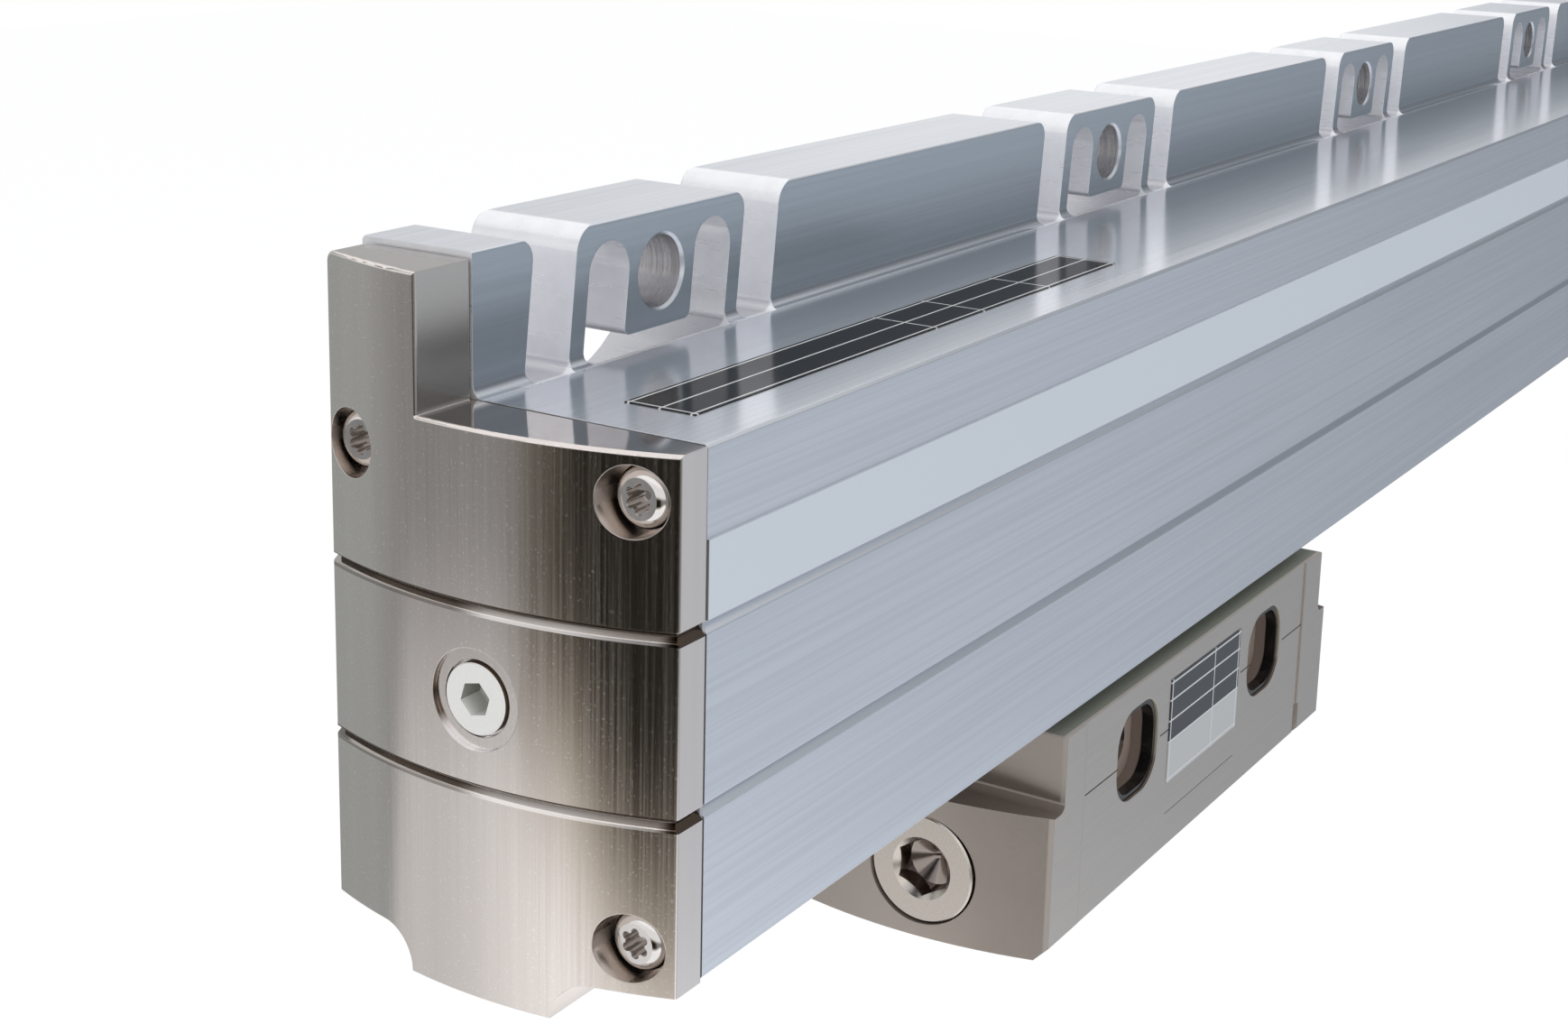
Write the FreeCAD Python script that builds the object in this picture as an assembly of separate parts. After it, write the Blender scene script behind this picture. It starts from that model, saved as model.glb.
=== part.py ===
import FreeCAD, Part
import math
import os
from FreeCAD import Vector

# Sealed linear encoder with a glass scale, full-size housing, in millimetres.
# While it is drawn, x runs along the housing from its left end, y runs from the front face
# towards the machine, and z runs up from the ledge beside the mounting flange.
# save() then moves each piece so that the origin is the centre of the flange's row of holes
# on the mounting face.

# Housing: length from the measuring length, section from the class of encoder
MEASURING_LENGTH = 940.0
HOLE_COUNT = 11
HOLE_PITCH = 100.0
FIRST_HOLE = 27.5
HOUSING_LENGTH = 2 * FIRST_HOLE + (HOLE_COUNT - 1) * HOLE_PITCH
HOUSING_WIDTH = 37.0
HOUSING_DEPTH = 47.2
BOTTOM_Z = -HOUSING_DEPTH
MIDDLE = HOUSING_WIDTH / 2
TOP_BAND_Z = -8.0
TOP_BAND_STEP = 0.25
LOWER_STEP = 0.12
GROOVE_TOPS = (-14.9, -31.1)
GROOVE_HEIGHT = 1.2
GROOVE_DEPTH = 0.65
EDGE_CHAMFER = 0.3

# Flange with its mounting blocks
FLANGE_THICKNESS = 12.3
FLANGE_HEIGHT = 12.8
FLANGE_FOOT_RADIUS = 1.2
HOLE_Z = 6.8
HOLE_DIAMETER = 7.0
HOLE_CHAMFER = 0.3
BLOCK_WIDTH = 27.0
GAP_WIDTH = 6.3
BLOCK_TOP_RADIUS = 2.2
GAP_FLOOR_RADIUS = 1.2
FLOOR_CUT = 0.3
FLOOR_RUNOUT = 1.3
TONGUE_WIDTH = 10.5
TONGUE_Z = 1.5
LEG_WIDTH = 2.1
LEG_SLOT_TOP = 10.9
LEG_SLOT_RADIUS = 1.0
REAR_CUT_RADIUS = 12.45
REAR_CUT_TOP = 0.2
TONGUE_RADIUS = 0.8
SLOT_LEAN = 0.12

# Cavity, glass scale and its bond
WALL_SIDE = 4.5
ROOF = 5.0
REAR_ROOF = 7.6
FLOOR_THICKNESS = 5.0
CAVITY_CORNER = 4.5
GLASS_THICKNESS = 4.0
GLASS_ROOM = 8.5
GLASS_Y = WALL_SIDE + GLASS_ROOM
GLASS_TOP = -3.0
GLASS_RISE = 20.2
GLASS_BOTTOM = BOTTOM_Z + GLASS_RISE
BOND_THICKNESS = 0.3
GLASS_END_GAP = 6.0

# Sealing lips
LIP_OPENING = 12.0
LIP_GROOVE_DEPTH = 1.4
LIP_GROOVE_HEIGHT = 1.5
LIP_GROOVE_RISE = 3.2
LIP_GROOVE_Z = BOTTOM_Z + LIP_GROOVE_RISE
LIP_TIP_DROP = 2.8
LIP_TIP_Z = BOTTOM_Z - LIP_TIP_DROP
LIP_TIP_GAP = 2.8
LIP_THICKNESS = 1.0

# End caps, gaskets, screws and air plugs
GASKET = 0.4
CAP_APEX = 7.6
CAP_FRONT_EDGE = 3.9
CAP_BACK_EDGE = 4.5
CAP_UPRIGHT_Z = 12.2
CAP_TAB_WIDTH = 15.1
CAP_TAB_DROP = 3.7
CAP_GROOVE_TOPS = (-14.8, -31.06)
CAP_EDGE_ROUND = 0.3
CAP_CORNER = 1.0
CAP_SCREW_RISE = 4.1
CAP_SCREW_Y = (4.0, HOUSING_WIDTH - 3.3)
CAP_SCREWS = (
    (CAP_SCREW_Y[0], -4.2),
    (CAP_SCREW_Y[0], BOTTOM_Z + CAP_SCREW_RISE),
    (CAP_SCREW_Y[1], -4.2),
)
SCREW_DIAMETER = 3.0
SCREW_LENGTH = 10.0
SCREW_HEAD = 5.6
SCREW_HEAD_HEIGHT = 2.4
COUNTERBORE = 6.2
SCREW_SEAT_X = -1.9
TORX_ACROSS = 2.8
AIR_Z = BOTTOM_Z / 2
AIR_RECESS = 9.1
AIR_RECESS_DEPTH = 0.5
AIR_HEAD = 6.4
AIR_HEAD_GAP = 0.25
AIR_PROUD = 0.3
AIR_SEAT = 0.6
AIR_THREAD = 5.0
AIR_PLUG_LENGTH = 4.5
AIR_HEX = 2.8
AIR_HEX_TURN = 17.0

# Scanning unit: its place at rest, and its body
SCANNER_X = 108.6
SCANNER_GAP = 1.5
SCANNER_TOP = BOTTOM_Z - SCANNER_GAP
SCANNER_FRONT = -1.0
SCANNER_INSET = 1.0
SCANNER_BACK = HOUSING_WIDTH - SCANNER_INSET
UPPER_LENGTH = 79.6
LOWER_LENGTH = 84.6
END_SAGITTA = 2.8
UPPER_HEIGHT = 8.7
BODY_HEIGHT = 25.8
SCANNER_BOTTOM = SCANNER_TOP - BODY_HEIGHT
STEP_RADIUS = 1.0
BOTTOM_CHAMFER = 1.6
CHANNEL_WIDTH = 17.0
CHANNEL_DEPTH = 3.6
FRONT_RELIEF = 0.2
RELIEF_DX = (-34.9, 33.9)
FRONT_NOTCH_WIDTH = 1.4
FRONT_NOTCH_HEIGHT = 3.8
FRONT_NOTCH_DEPTH = 0.6
SCANNER_HOLE_SPACING = 40.0
SCANNER_HOLE_DROP = 8.4
SCANNER_HOLE_Z = SCANNER_TOP - SCANNER_HOLE_DROP
SCANNER_HOLE_DIAMETER = 6.6
POCKET_SIZE = 11.4
POCKET_RADIUS = 4.2
POCKET_DEPTH = 3.4
LINER_WALL = 0.7
LINER_INSET = 0.5
PORT_FORWARD = 4.5
PORT_Y = MIDDLE - PORT_FORWARD
PORT_RISE = 8.2
PORT_Z = SCANNER_BOTTOM + PORT_RISE
PORT_RECESS = 13.2
PORT_HEAD = 12.8
PORT_HEAD_HEIGHT = 3.0
PORT_THREAD = 9.0
PORT_HEX = 6.0
PORT_HEX_DEPTH = 3.0
PORT_HEX_POINT = 1.7
PORT_SEAL = 0.8
PORT_SEAL_WIDTH = 12.6
CHAMBER_HALF = 34.0
CHAMBER_DROP = 12.9
CHAMBER_TOP = SCANNER_TOP - CHAMBER_DROP
CHAMBER_FLOOR = 2.2
CHAMBER_BOTTOM = SCANNER_BOTTOM + CHAMBER_FLOOR
CHAMBER_FRONT = 4.0
COVER_THICKNESS = 2.0
COVER_RIM = 2.5

# Blade, coupling and carriage
BLADE_THICKNESS = 1.2
BLADE_Y = MIDDLE
BLADE_HALF = 25.0
BLADE_RISE = 10.8
BLADE_TOP = BOTTOM_Z + BLADE_RISE
FOOT_THICKNESS = 1.0
FOOT_WIDTH = 9.0
ROD_DIAMETER = 2.0
ROD_BEHIND = 4.1
ROD_Y = MIDDLE + ROD_BEHIND
ROD_RISE = 8.4
ROD_Z = BOTTOM_Z + ROD_RISE
ROD_SOCKET_CLEARANCE = 0.45
CARRIAGE_HALF = 34.0
ARM_THICKNESS = 3.2
ARM_GAP = 1.4
ARM_TOP = -9.5
BASE_GAP = 3.0
BASE_TOP = GLASS_BOTTOM - BASE_GAP
BASE_HEIGHT = 5.6
BASE_BOTTOM = BASE_TOP - BASE_HEIGHT
ROLLER_DX = 25.0
FACE_ROLLER = 6.0
EDGE_ROLLER = 6.0
PRESS_ROLLER = 5.0
ROLLER_WIDTH = 2.5
ROLLER_PIN = 2.0
ROLLER_CLEARANCE = 0.03
ROLL_GAP = 0.02
FACE_ROLLER_Z = -19.0

PIN_HOLD = 2.5
NOTCH_DX = (12.0, 19.0)
NOTCH_RISE = 6.0
NOTCH_BOTTOM = BASE_TOP + NOTCH_RISE
SHELF_DROP = 1.0
SHELF_TOP = BASE_TOP - SHELF_DROP
BOSS_DX = (-14.0, -6.0)
BOSS_WALL = 2.0
BOSS_BACK = ROD_Y + BOSS_WALL
BOSS_BELOW = 2.4
BOSS_ABOVE = 2.0
BOSS_Z = (ROD_Z - BOSS_BELOW, ROD_Z + BOSS_ABOVE)
LUG_DX = (6.0, 14.0)
LUG_FRONT_WALL = 2.4
LUG_BACK_WALL = 2.2
LUG_Y = (ROD_Y - LUG_FRONT_WALL, ROD_Y + LUG_BACK_WALL)
LUG_BOTTOM = ROD_Z - BOSS_BELOW
COLLAR = 1.0
COLLAR_DIAMETER = 4.0
BLADE_NOSE = 4.0
FOOT_SCREWS_DX = (-15.0, 15.0)
FOOT_SCREW_Y = 3.0
FOOT_SCREW = 1.6
FOOT_SCREW_LENGTH = 3.0
LEAD_DX = (8.0, 14.0)
LEAD_THICKNESS = 0.25
LEAD_RISE = 4.6
LEAD_TOP = BOTTOM_Z + LEAD_RISE

# Optics, boards, cover and foils
OPTICS_Z = -17.0
LENS_DIAMETER = 7.0
LENS_THICKNESS = 1.6
RETICLE_SIZE = 8.0
RETICLE_THICKNESS = 1.0
SENSOR_BOARD = 20.0
BOARD_HALF = 30.0
BOARD_FORWARD = 12.5
BOARD_BEHIND = 11.5
BOARD_Y = (MIDDLE - BOARD_FORWARD, MIDDLE + BOARD_BEHIND)
BOARD_RISE = 1.9
BOARD_Z = CHAMBER_BOTTOM + BOARD_RISE
BOARD_THICKNESS = 1.2
BOARD_PARTS = (
    (-18.0, -6.5, 10.0, 8.0, 1.6),
    (-2.0, -4.5, 12.0, 12.0, 1.4),
    (14.0, -6.5, 7.0, 5.0, 1.2),
    (11.0, 5.5, 9.0, 4.0, 2.4),
    (-20.0, 5.5, 6.0, 4.0, 1.8),
)
COVER_SEAL = 0.5
COVER_LAP = 0.9
COVER_MIDDLE = (CHAMBER_TOP + CHAMBER_BOTTOM) / 2
COVER_SCREW_DX = 37.5
COVER_SCREW_DZ = 2.5
COVER_SCREWS = tuple(
    (dx, COVER_MIDDLE + dz)
    for dx in (-COVER_SCREW_DX, COVER_SCREW_DX)
    for dz in (COVER_SCREW_DZ, -COVER_SCREW_DZ)
)
COVER_SCREW = 2.0
COVER_SCREW_LENGTH = 5.0
PORT_INSET = 0.25
PORT_THREAD_LENGTH = 5.0
SOCKET_WELL = 7.2
SOCKET_DEPTH = 6.5
CONTACT_COUNT = 8
CONTACT_RING = 2.4
CONTACT_DIAMETER = 0.8
CONTACT_REACH = 2.0
CONTACT_LENGTH = 6.0
LEDGE_FOIL_X = (6.7, 90.2)
LEDGE_FOIL_Y = (6.2, 13.6)
SCANNER_FOIL_X = (97.7, 119.6)
SCANNER_FOIL_DROPS = (15.9, 2.6)
SCANNER_FOIL_Z = tuple(SCANNER_TOP - drop for drop in SCANNER_FOIL_DROPS)
FOIL_THICKNESS = 0.1

OVERRUN = 10.0

MOUNT_CENTRE = Vector(HOUSING_LENGTH / 2, HOUSING_WIDTH, HOLE_Z)
X, Y, Z = Vector(1, 0, 0), Vector(0, 1, 0), Vector(0, 0, 1)


def save(name, *solids):
    shape = solids[0] if len(solids) == 1 else Part.makeCompound(list(solids))
    shape = shape.copy()
    shape.translate(MOUNT_CENTRE * -1)
    shape.exportStep("parts/" + name + ".step")


def box(x, y, z):
    """Box between two values of x, of y and of z."""
    return Part.makeBox(x[1] - x[0], y[1] - y[0], z[1] - z[0], Vector(x[0], y[0], z[0]))


def rod(diameter, start, direction, length):
    return Part.makeCylinder(diameter / 2, length, start, direction)


def face(place, start, *moves):
    """Closed flat outline. A move is an end point, or a middle and an end point for an arc."""
    edges = []
    here = start
    for move in moves + (start,):
        if isinstance(move[0], tuple):
            edges.append(Part.Arc(place(*here), place(*move[0]), place(*move[1])).toShape())
            here = move[1]
        elif move != here:
            edges.append(Part.makeLine(place(*here), place(*move)))
            here = move
    return Part.Face(Part.Wire(edges))


def section(start, *moves, x):
    """Solid of one section in y and z, between two values of x."""
    outline = face(lambda y, z: Vector(x[0], y, z), start, *moves)
    return outline.extrude(X * (x[1] - x[0]))


def elevation(start, *moves, y):
    """Solid of one outline in x and z, between two values of y."""
    outline = face(lambda a, b: Vector(a, y[0], b), start, *moves)
    return outline.extrude(Y * (y[1] - y[0]))


def hexagon(across, centre, direction, depth, turn=0.0):
    """Hexagon prism across its flats, from a centre along a row axis."""
    corners = []
    for k in range(7):
        angle = math.radians(60 * k + 30 + turn)
        a = across / math.sqrt(3) * math.cos(angle)
        b = across / math.sqrt(3) * math.sin(angle)
        corners.append(centre + (Y * a + Z * b))
    return Part.Face(Part.makePolygon(corners)).extrude(direction * depth)


def torx(across, centre, direction, depth):
    """Six-lobed socket along x: a round core with six lobes."""
    core = rod(across * 0.72, centre, direction, depth)
    lobes = []
    for k in range(6):
        angle = math.radians(60 * k + 30)
        reach = across * 0.36
        place = centre + Y * (reach * math.cos(angle)) + Z * (reach * math.sin(angle))
        lobes.append(rod(across * 0.28, place, direction, depth))
    return core.fuse(lobes)


def mirror_x(shape, x):
    return shape.mirror(Vector(x, 0, 0), X)


def corner(point, towards_a, towards_b, radius):
    """Start, middle and end of a quarter round at a right corner in two directions."""
    cut = radius * (1 - math.sqrt(0.5))
    start = (point[0] + towards_a[0] * radius, point[1] + towards_a[1] * radius)
    end = (point[0] + towards_b[0] * radius, point[1] + towards_b[1] * radius)
    middle = (
        point[0] + (towards_a[0] + towards_b[0]) * cut,
        point[1] + (towards_a[1] + towards_b[1]) * cut,
    )
    return start, middle, end


# Housing
def lean(points):
    """Lean an outline in x and z about the height of the mounting holes."""
    out = []
    for p in points:
        if isinstance(p[0], tuple):
            out.append(tuple((a + SLOT_LEAN * (b - HOLE_Z), b) for a, b in p))
        else:
            out.append((p[0] + SLOT_LEAN * (p[1] - HOLE_Z), p[1]))
    return out


def gap_cutter(x0, x1):
    """Gap between two flange blocks, with rounded floor corners and rounded block tops."""
    top = FLANGE_HEIGHT
    over = top + 2
    r = BLOCK_TOP_RADIUS
    left_top = corner((x0, top), (-1, 0), (0, -1), r)
    left_low = corner((x0, -FLOOR_CUT), (0, 1), (1, 0), GAP_FLOOR_RADIUS)
    right_low = corner((x1, -FLOOR_CUT), (-1, 0), (0, 1), GAP_FLOOR_RADIUS)
    right_top = corner((x1, top), (0, -1), (1, 0), r)
    path = [
        (x0 - r, over), left_top[0], (left_top[1], left_top[2]),
        left_low[0], (left_low[1], left_low[2]),
        right_low[0], (right_low[1], right_low[2]),
        right_top[0], (right_top[1], right_top[2]), (x1 + r, over),
    ]
    y0 = HOUSING_WIDTH - FLANGE_THICKNESS - FLOOR_RUNOUT
    return elevation(*lean(path), y=(y0, HOUSING_WIDTH + 1))


def tongue_cutter(xc):
    """U-shaped cut that leaves a tongue hanging between two thin legs."""
    half = BLOCK_WIDTH / 2 - LEG_WIDTH
    t = TONGUE_WIDTH / 2
    slot = half - t
    crown = LEG_SLOT_TOP - slot / 2
    low_left = corner((xc - half, -FLOOR_CUT), (0, 1), (1, 0), LEG_SLOT_RADIUS)
    low_right = corner((xc + half, -FLOOR_CUT), (-1, 0), (0, 1), LEG_SLOT_RADIUS)
    tip_right = corner((xc + t, TONGUE_Z), (0, 1), (-1, 0), TONGUE_RADIUS)
    tip_left = corner((xc - t, TONGUE_Z), (1, 0), (0, 1), TONGUE_RADIUS)
    path = [
        (xc - half, crown),
        low_left[0], (low_left[1], low_left[2]),
        low_right[0], (low_right[1], low_right[2]),
        (xc + half, crown),
        ((xc + half - slot / 2, LEG_SLOT_TOP), (xc + t, crown)),
        tip_right[0], (tip_right[1], tip_right[2]),
        tip_left[0], (tip_left[1], tip_left[2]),
        (xc - t, crown),
        ((xc - half + slot / 2, LEG_SLOT_TOP), (xc - half, crown)),
    ]
    y0 = HOUSING_WIDTH - FLANGE_THICKNESS - FLOOR_RUNOUT
    return elevation(*lean(path), y=(y0, HOUSING_WIDTH + 1))


def rear_cutter(xc):
    """Round end of the U-shaped cut below the tongue, milled from the mounting face."""
    y0 = HOUSING_WIDTH - FLANGE_THICKNESS
    r = REAR_CUT_RADIUS
    disc = rod(2 * r, Vector(xc, y0, HOLE_Z), Y, FLANGE_THICKNESS + 1)
    low = box((xc - r, xc + r), (y0, HOUSING_WIDTH + 1), (HOLE_Z - r, REAR_CUT_TOP))
    return disc.common(low)


def hole_cutter(xc):
    """Through hole for one mounting screw, chamfered at both faces."""
    y0 = HOUSING_WIDTH - FLANGE_THICKNESS
    r = HOLE_DIAMETER / 2
    c = HOLE_CHAMFER
    bore = rod(HOLE_DIAMETER, Vector(xc, y0 - 1, HOLE_Z), Y, FLANGE_THICKNESS + 2)
    front = Part.makeCone(r + 2 * c, r, 2 * c, Vector(xc, y0 - c, HOLE_Z), Y)
    back = Part.makeCone(r, r + 2 * c, 2 * c, Vector(xc, HOUSING_WIDTH - c, HOLE_Z), Y)
    return bore.fuse([front, back])


def groove_moves(top, y):
    """Groove in the front face: square upper side, sloping lower side, read upwards."""
    return [
        (y, top - GROOVE_HEIGHT),
        (y + GROOVE_DEPTH, top - GROOVE_HEIGHT * 0.45),
        (y + GROOVE_DEPTH, top - GROOVE_HEIGHT * 0.2),
        (y, top),
    ]


def lip_profile(side):
    """Anchored lip that slants down towards the blade; side is -1 at the front, 1 at the back."""
    edge = LIP_OPENING / 2
    tip = LIP_TIP_GAP / 2
    z0 = LIP_GROOVE_Z - 0.05
    z1 = LIP_GROOVE_Z - LIP_GROOVE_HEIGHT + 0.05
    points = [
        (edge + LIP_GROOVE_DEPTH - 0.05, z0),
        (edge - 1.0, z0),
        (tip, LIP_TIP_Z + LIP_THICKNESS * 0.5),
        (tip + 0.5, LIP_TIP_Z),
        (edge - 0.1, z1 - 0.9),
        (edge - 0.1, z1),
        (edge + LIP_GROOVE_DEPTH - 0.05, z1),
    ]
    return [(MIDDLE + side * y, z) for y, z in points]


def housing():
    c = EDGE_CHAMFER
    top_y = TOP_BAND_STEP
    low_y = LOWER_STEP
    foot = HOUSING_WIDTH - FLANGE_THICKNESS
    r = FLANGE_FOOT_RADIUS
    bottom = BOTTOM_Z
    outline = [(low_y + c, bottom), (low_y, bottom + c)]
    outline += groove_moves(GROOVE_TOPS[1], low_y)
    outline += groove_moves(GROOVE_TOPS[0], low_y)
    outline += [(0.0, GROOVE_TOPS[0]), (0.0, TOP_BAND_Z), (top_y, TOP_BAND_Z)]
    outline += [(top_y, -c), (top_y + c, 0.0), (foot - r, 0.0)]
    outline += [((foot - r * (1 - math.sqrt(0.5)), r * (1 - math.sqrt(0.5))), (foot, r))]
    outline += [(foot, FLANGE_HEIGHT - 0.15), (foot + 0.15, FLANGE_HEIGHT)]
    outline += [(HOUSING_WIDTH - c, FLANGE_HEIGHT), (HOUSING_WIDTH, FLANGE_HEIGHT - c)]
    outline += [(HOUSING_WIDTH, bottom + c), (HOUSING_WIDTH - c, bottom)]
    body = section(*outline, x=(0, HOUSING_LENGTH))

    k = CAVITY_CORNER
    y0, y1 = WALL_SIDE, HOUSING_WIDTH - WALL_SIDE
    z0, z1, z2 = BOTTOM_Z + FLOOR_THICKNESS, -ROOF, -REAR_ROOF
    g0 = GLASS_Y - GLASS_THICKNESS / 2 - BOND_THICKNESS
    g1 = GLASS_Y + GLASS_THICKNESS / 2 + BOND_THICKNESS
    groove_top = GLASS_TOP + BOND_THICKNESS
    edge = LIP_OPENING / 2
    deep = edge + LIP_GROOVE_DEPTH
    upper, lower = LIP_GROOVE_Z, LIP_GROOVE_Z - LIP_GROOVE_HEIGHT
    hollow = [
        (y0, z0 + k), (y0, z1 - k), (y0 + k, z1), (g0, z1), (g0, groove_top), (g1, groove_top),
        (g1, z2), (y1 - k, z2), (y1, z2 - k), (y1, z0 + k), (y1 - k, z0), (MIDDLE + edge, z0),
        (MIDDLE + edge, upper), (MIDDLE + deep, upper), (MIDDLE + deep, lower),
        (MIDDLE + edge, lower), (MIDDLE + edge, bottom - 1), (MIDDLE - edge, bottom - 1),
        (MIDDLE - edge, lower), (MIDDLE - deep, lower), (MIDDLE - deep, upper),
        (MIDDLE - edge, upper), (MIDDLE - edge, z0), (y0 + k, z0),
    ]
    cuts = [section(*hollow, x=(-1, HOUSING_LENGTH + 1))]
    half = BLOCK_WIDTH / 2
    for i in range(HOLE_COUNT):
        xc = FIRST_HOLE + i * HOLE_PITCH
        cuts.append(gap_cutter(xc - half - GAP_WIDTH, xc - half))
        cuts.append(gap_cutter(xc + half, xc + half + GAP_WIDTH))
        cuts.append(tongue_cutter(xc))
        cuts.append(rear_cutter(xc))
        cuts.append(hole_cutter(xc))
    for y, z in CAP_SCREWS:
        tapped = SCREW_DIAMETER + 0.04
        depth = SCREW_LENGTH + 2
        cuts.append(rod(tapped, Vector(-1, y, z), X, depth))
        cuts.append(rod(tapped, Vector(HOUSING_LENGTH + 1, y, z), X * -1, depth))
    return body.cut(cuts)


def scale_and_bond():
    g = GLASS_THICKNESS / 2
    x = (GLASS_END_GAP, HOUSING_LENGTH - GLASS_END_GAP)
    glass = box(x, (GLASS_Y - g, GLASS_Y + g), (GLASS_BOTTOM, GLASS_TOP))
    b = g + BOND_THICKNESS
    bond = box(x, (GLASS_Y - b, GLASS_Y + b), (-ROOF, GLASS_TOP + BOND_THICKNESS))
    save("glass_scale", glass)
    save("scale_bond", bond.cut(glass))


# End caps, drawn for the left end and mirrored for the right
def cap_outline(inset):
    """Outline of an end cap or its gasket in y and z, drawn in by the inset."""
    bottom = BOTTOM_Z + inset
    tab = CAP_TAB_WIDTH / 2 - inset
    drop = bottom - CAP_TAB_DROP
    r = CAP_TAB_DROP
    bend = r * math.sqrt(0.5)
    front, back = inset, HOUSING_WIDTH - inset
    upright = HOUSING_WIDTH - FLANGE_THICKNESS + inset
    top = CAP_UPRIGHT_Z - inset
    round_start, round_middle, round_end = corner((back, top), (-1, 0), (0, -1), CAP_CORNER)
    return [
        (front, bottom), (front, -inset), (upright, -inset), (upright, top),
        round_start, (round_middle, round_end), (back, bottom), (MIDDLE + tab + r, bottom),
        ((MIDDLE + tab + r - bend, drop + bend), (MIDDLE + tab, drop)),
        (MIDDLE - tab, drop),
        ((MIDDLE - tab - r + bend, drop + bend), (MIDDLE - tab - r, bottom)),
    ]


def arc_radius(sagitta, width):
    return (width * width / 4 + sagitta * sagitta) / (2 * sagitta)


def end_cap():
    """Cap with a face that is convex in plan, grooves that run on from the housing, and a tab."""
    circle = Part.Circle(
        Vector(-CAP_FRONT_EDGE, 0, 0), Vector(-CAP_APEX, MIDDLE, 0),
        Vector(-CAP_BACK_EDGE, HOUSING_WIDTH, 0),
    )
    centre, radius = circle.Center, circle.Radius
    height = HOUSING_DEPTH + CAP_UPRIGHT_Z + 2 * OVERRUN
    block = section(*cap_outline(0), x=(-CAP_APEX - 1, -GASKET))
    round_block = Part.makeCylinder(radius, height, centre + Z * (BOTTOM_Z - OVERRUN), Z)
    cap = block.common(round_block)
    rim = [e for e in cap.Edges if is_rim(e, centre, radius)]
    cap = cap.makeFillet(CAP_EDGE_ROUND, rim)
    cuts = []
    for top in CAP_GROOVE_TOPS:
        profile = [
            Vector(centre.x - radius - 1, centre.y, top),
            Vector(centre.x - radius + GROOVE_DEPTH, centre.y, top - GROOVE_HEIGHT * 0.2),
            Vector(centre.x - radius + GROOVE_DEPTH, centre.y, top - GROOVE_HEIGHT * 0.45),
            Vector(centre.x - radius - 1, centre.y, top - GROOVE_HEIGHT * 1.4),
        ]
        ring = Part.Face(Part.makePolygon(profile + profile[:1]))
        turned = ring.copy()
        turned.rotate(centre, Z, -50)
        cuts.append(turned.revolve(centre, Z, 100))
        strip = [(-1, top + 0.1), (-1, top - GROOVE_HEIGHT * 1.5)]
        strip += groove_moves(top, 0.0)
        cuts.append(section(*strip, x=(-CAP_APEX - 1, 0)))
    for y, z in CAP_SCREWS:
        cuts.append(rod(COUNTERBORE, Vector(SCREW_SEAT_X, y, z), X * -1, OVERRUN))
        cuts.append(rod(SCREW_DIAMETER + 0.4, Vector(0, y, z), X * -1, OVERRUN))
    floor_x = -CAP_APEX + AIR_RECESS_DEPTH
    cuts.append(rod(AIR_RECESS, Vector(floor_x, MIDDLE, AIR_Z), X * -1, OVERRUN))
    seat_x = floor_x + AIR_SEAT
    cuts.append(rod(AIR_HEAD + 2 * AIR_HEAD_GAP, Vector(seat_x, MIDDLE, AIR_Z), X * -1, OVERRUN))
    cuts.append(rod(AIR_THREAD, Vector(0, MIDDLE, AIR_Z), X * -1, OVERRUN))
    return cap.cut(cuts)


def is_rim(edge, centre, radius):
    """True for an edge that lies on the convex face, above the tab's quarter rounds."""
    points = edge.discretize(5)
    reach = [math.hypot(p.x - centre.x, p.y - centre.y) for p in points]
    on_face = all(abs(r - radius) < 1e-3 for r in reach)
    return on_face and max(p.z for p in points) > BOTTOM_Z + 0.01


def end_gasket():
    gasket = section(*cap_outline(0.3), x=(-GASKET, 0))
    cuts = [rod(SCREW_DIAMETER + 0.4, Vector(-1, y, z), X, 2) for y, z in CAP_SCREWS]
    cuts.append(rod(AIR_THREAD + 2, Vector(-1, MIDDLE, AIR_Z), X, 2))
    return gasket.cut(cuts)


def cap_screw(y, z):
    """Pan-head screw with a six-lobed socket, its head seated in the counterbore."""
    seat = Vector(SCREW_SEAT_X, y, z)
    r = SCREW_HEAD / 2
    k = SCREW_HEAD_HEIGHT
    place = lambda a, b: Vector(SCREW_SEAT_X - b, y + a, z)
    head = face(
        place, (0.0, 0.0), (r, 0.0), (r, k * 0.35), ((r * 0.9, k * 0.78), (r * 0.64, k)), (0.0, k)
    ).revolve(seat, X, 360)
    shank = rod(SCREW_DIAMETER, seat, X, SCREW_LENGTH)
    screw = head.fuse(shank).removeSplitter()
    return screw.cut(torx(TORX_ACROSS, seat + X * -k, X, k * 0.55))


def air_plug():
    """Plastic plug with a hexagon socket that closes the air inlet."""
    floor_x = -CAP_APEX + AIR_RECESS_DEPTH
    seat = Vector(floor_x + AIR_SEAT, MIDDLE, AIR_Z)
    head = rod(AIR_HEAD, seat, X * -1, AIR_SEAT + AIR_PROUD)
    outer = max(head.Edges, key=lambda e: -e.CenterOfMass.x)
    head = head.makeChamfer(0.1, [outer])
    plug = head.fuse(rod(AIR_THREAD - 0.04, seat, X, AIR_PLUG_LENGTH)).removeSplitter()
    top = Vector(floor_x - AIR_PROUD, MIDDLE, AIR_Z)
    socket = hexagon(AIR_HEX, top, X, 2.5, AIR_HEX_TURN)
    return plug.cut(socket)


def end_pieces():
    cap = end_cap()
    gasket = end_gasket()
    plug = air_plug()
    screws = [cap_screw(y, z) for y, z in CAP_SCREWS]
    half = HOUSING_LENGTH / 2
    save("end_cap_left", cap)
    save("end_cap_right", mirror_x(cap, half))
    save("end_gasket_left", gasket)
    save("end_gasket_right", mirror_x(gasket, half))
    save("air_plug_left", plug)
    save("air_plug_right", mirror_x(plug, half))
    save("cap_screws_left", *screws)
    save("cap_screws_right", *[mirror_x(s, half) for s in screws])


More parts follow.
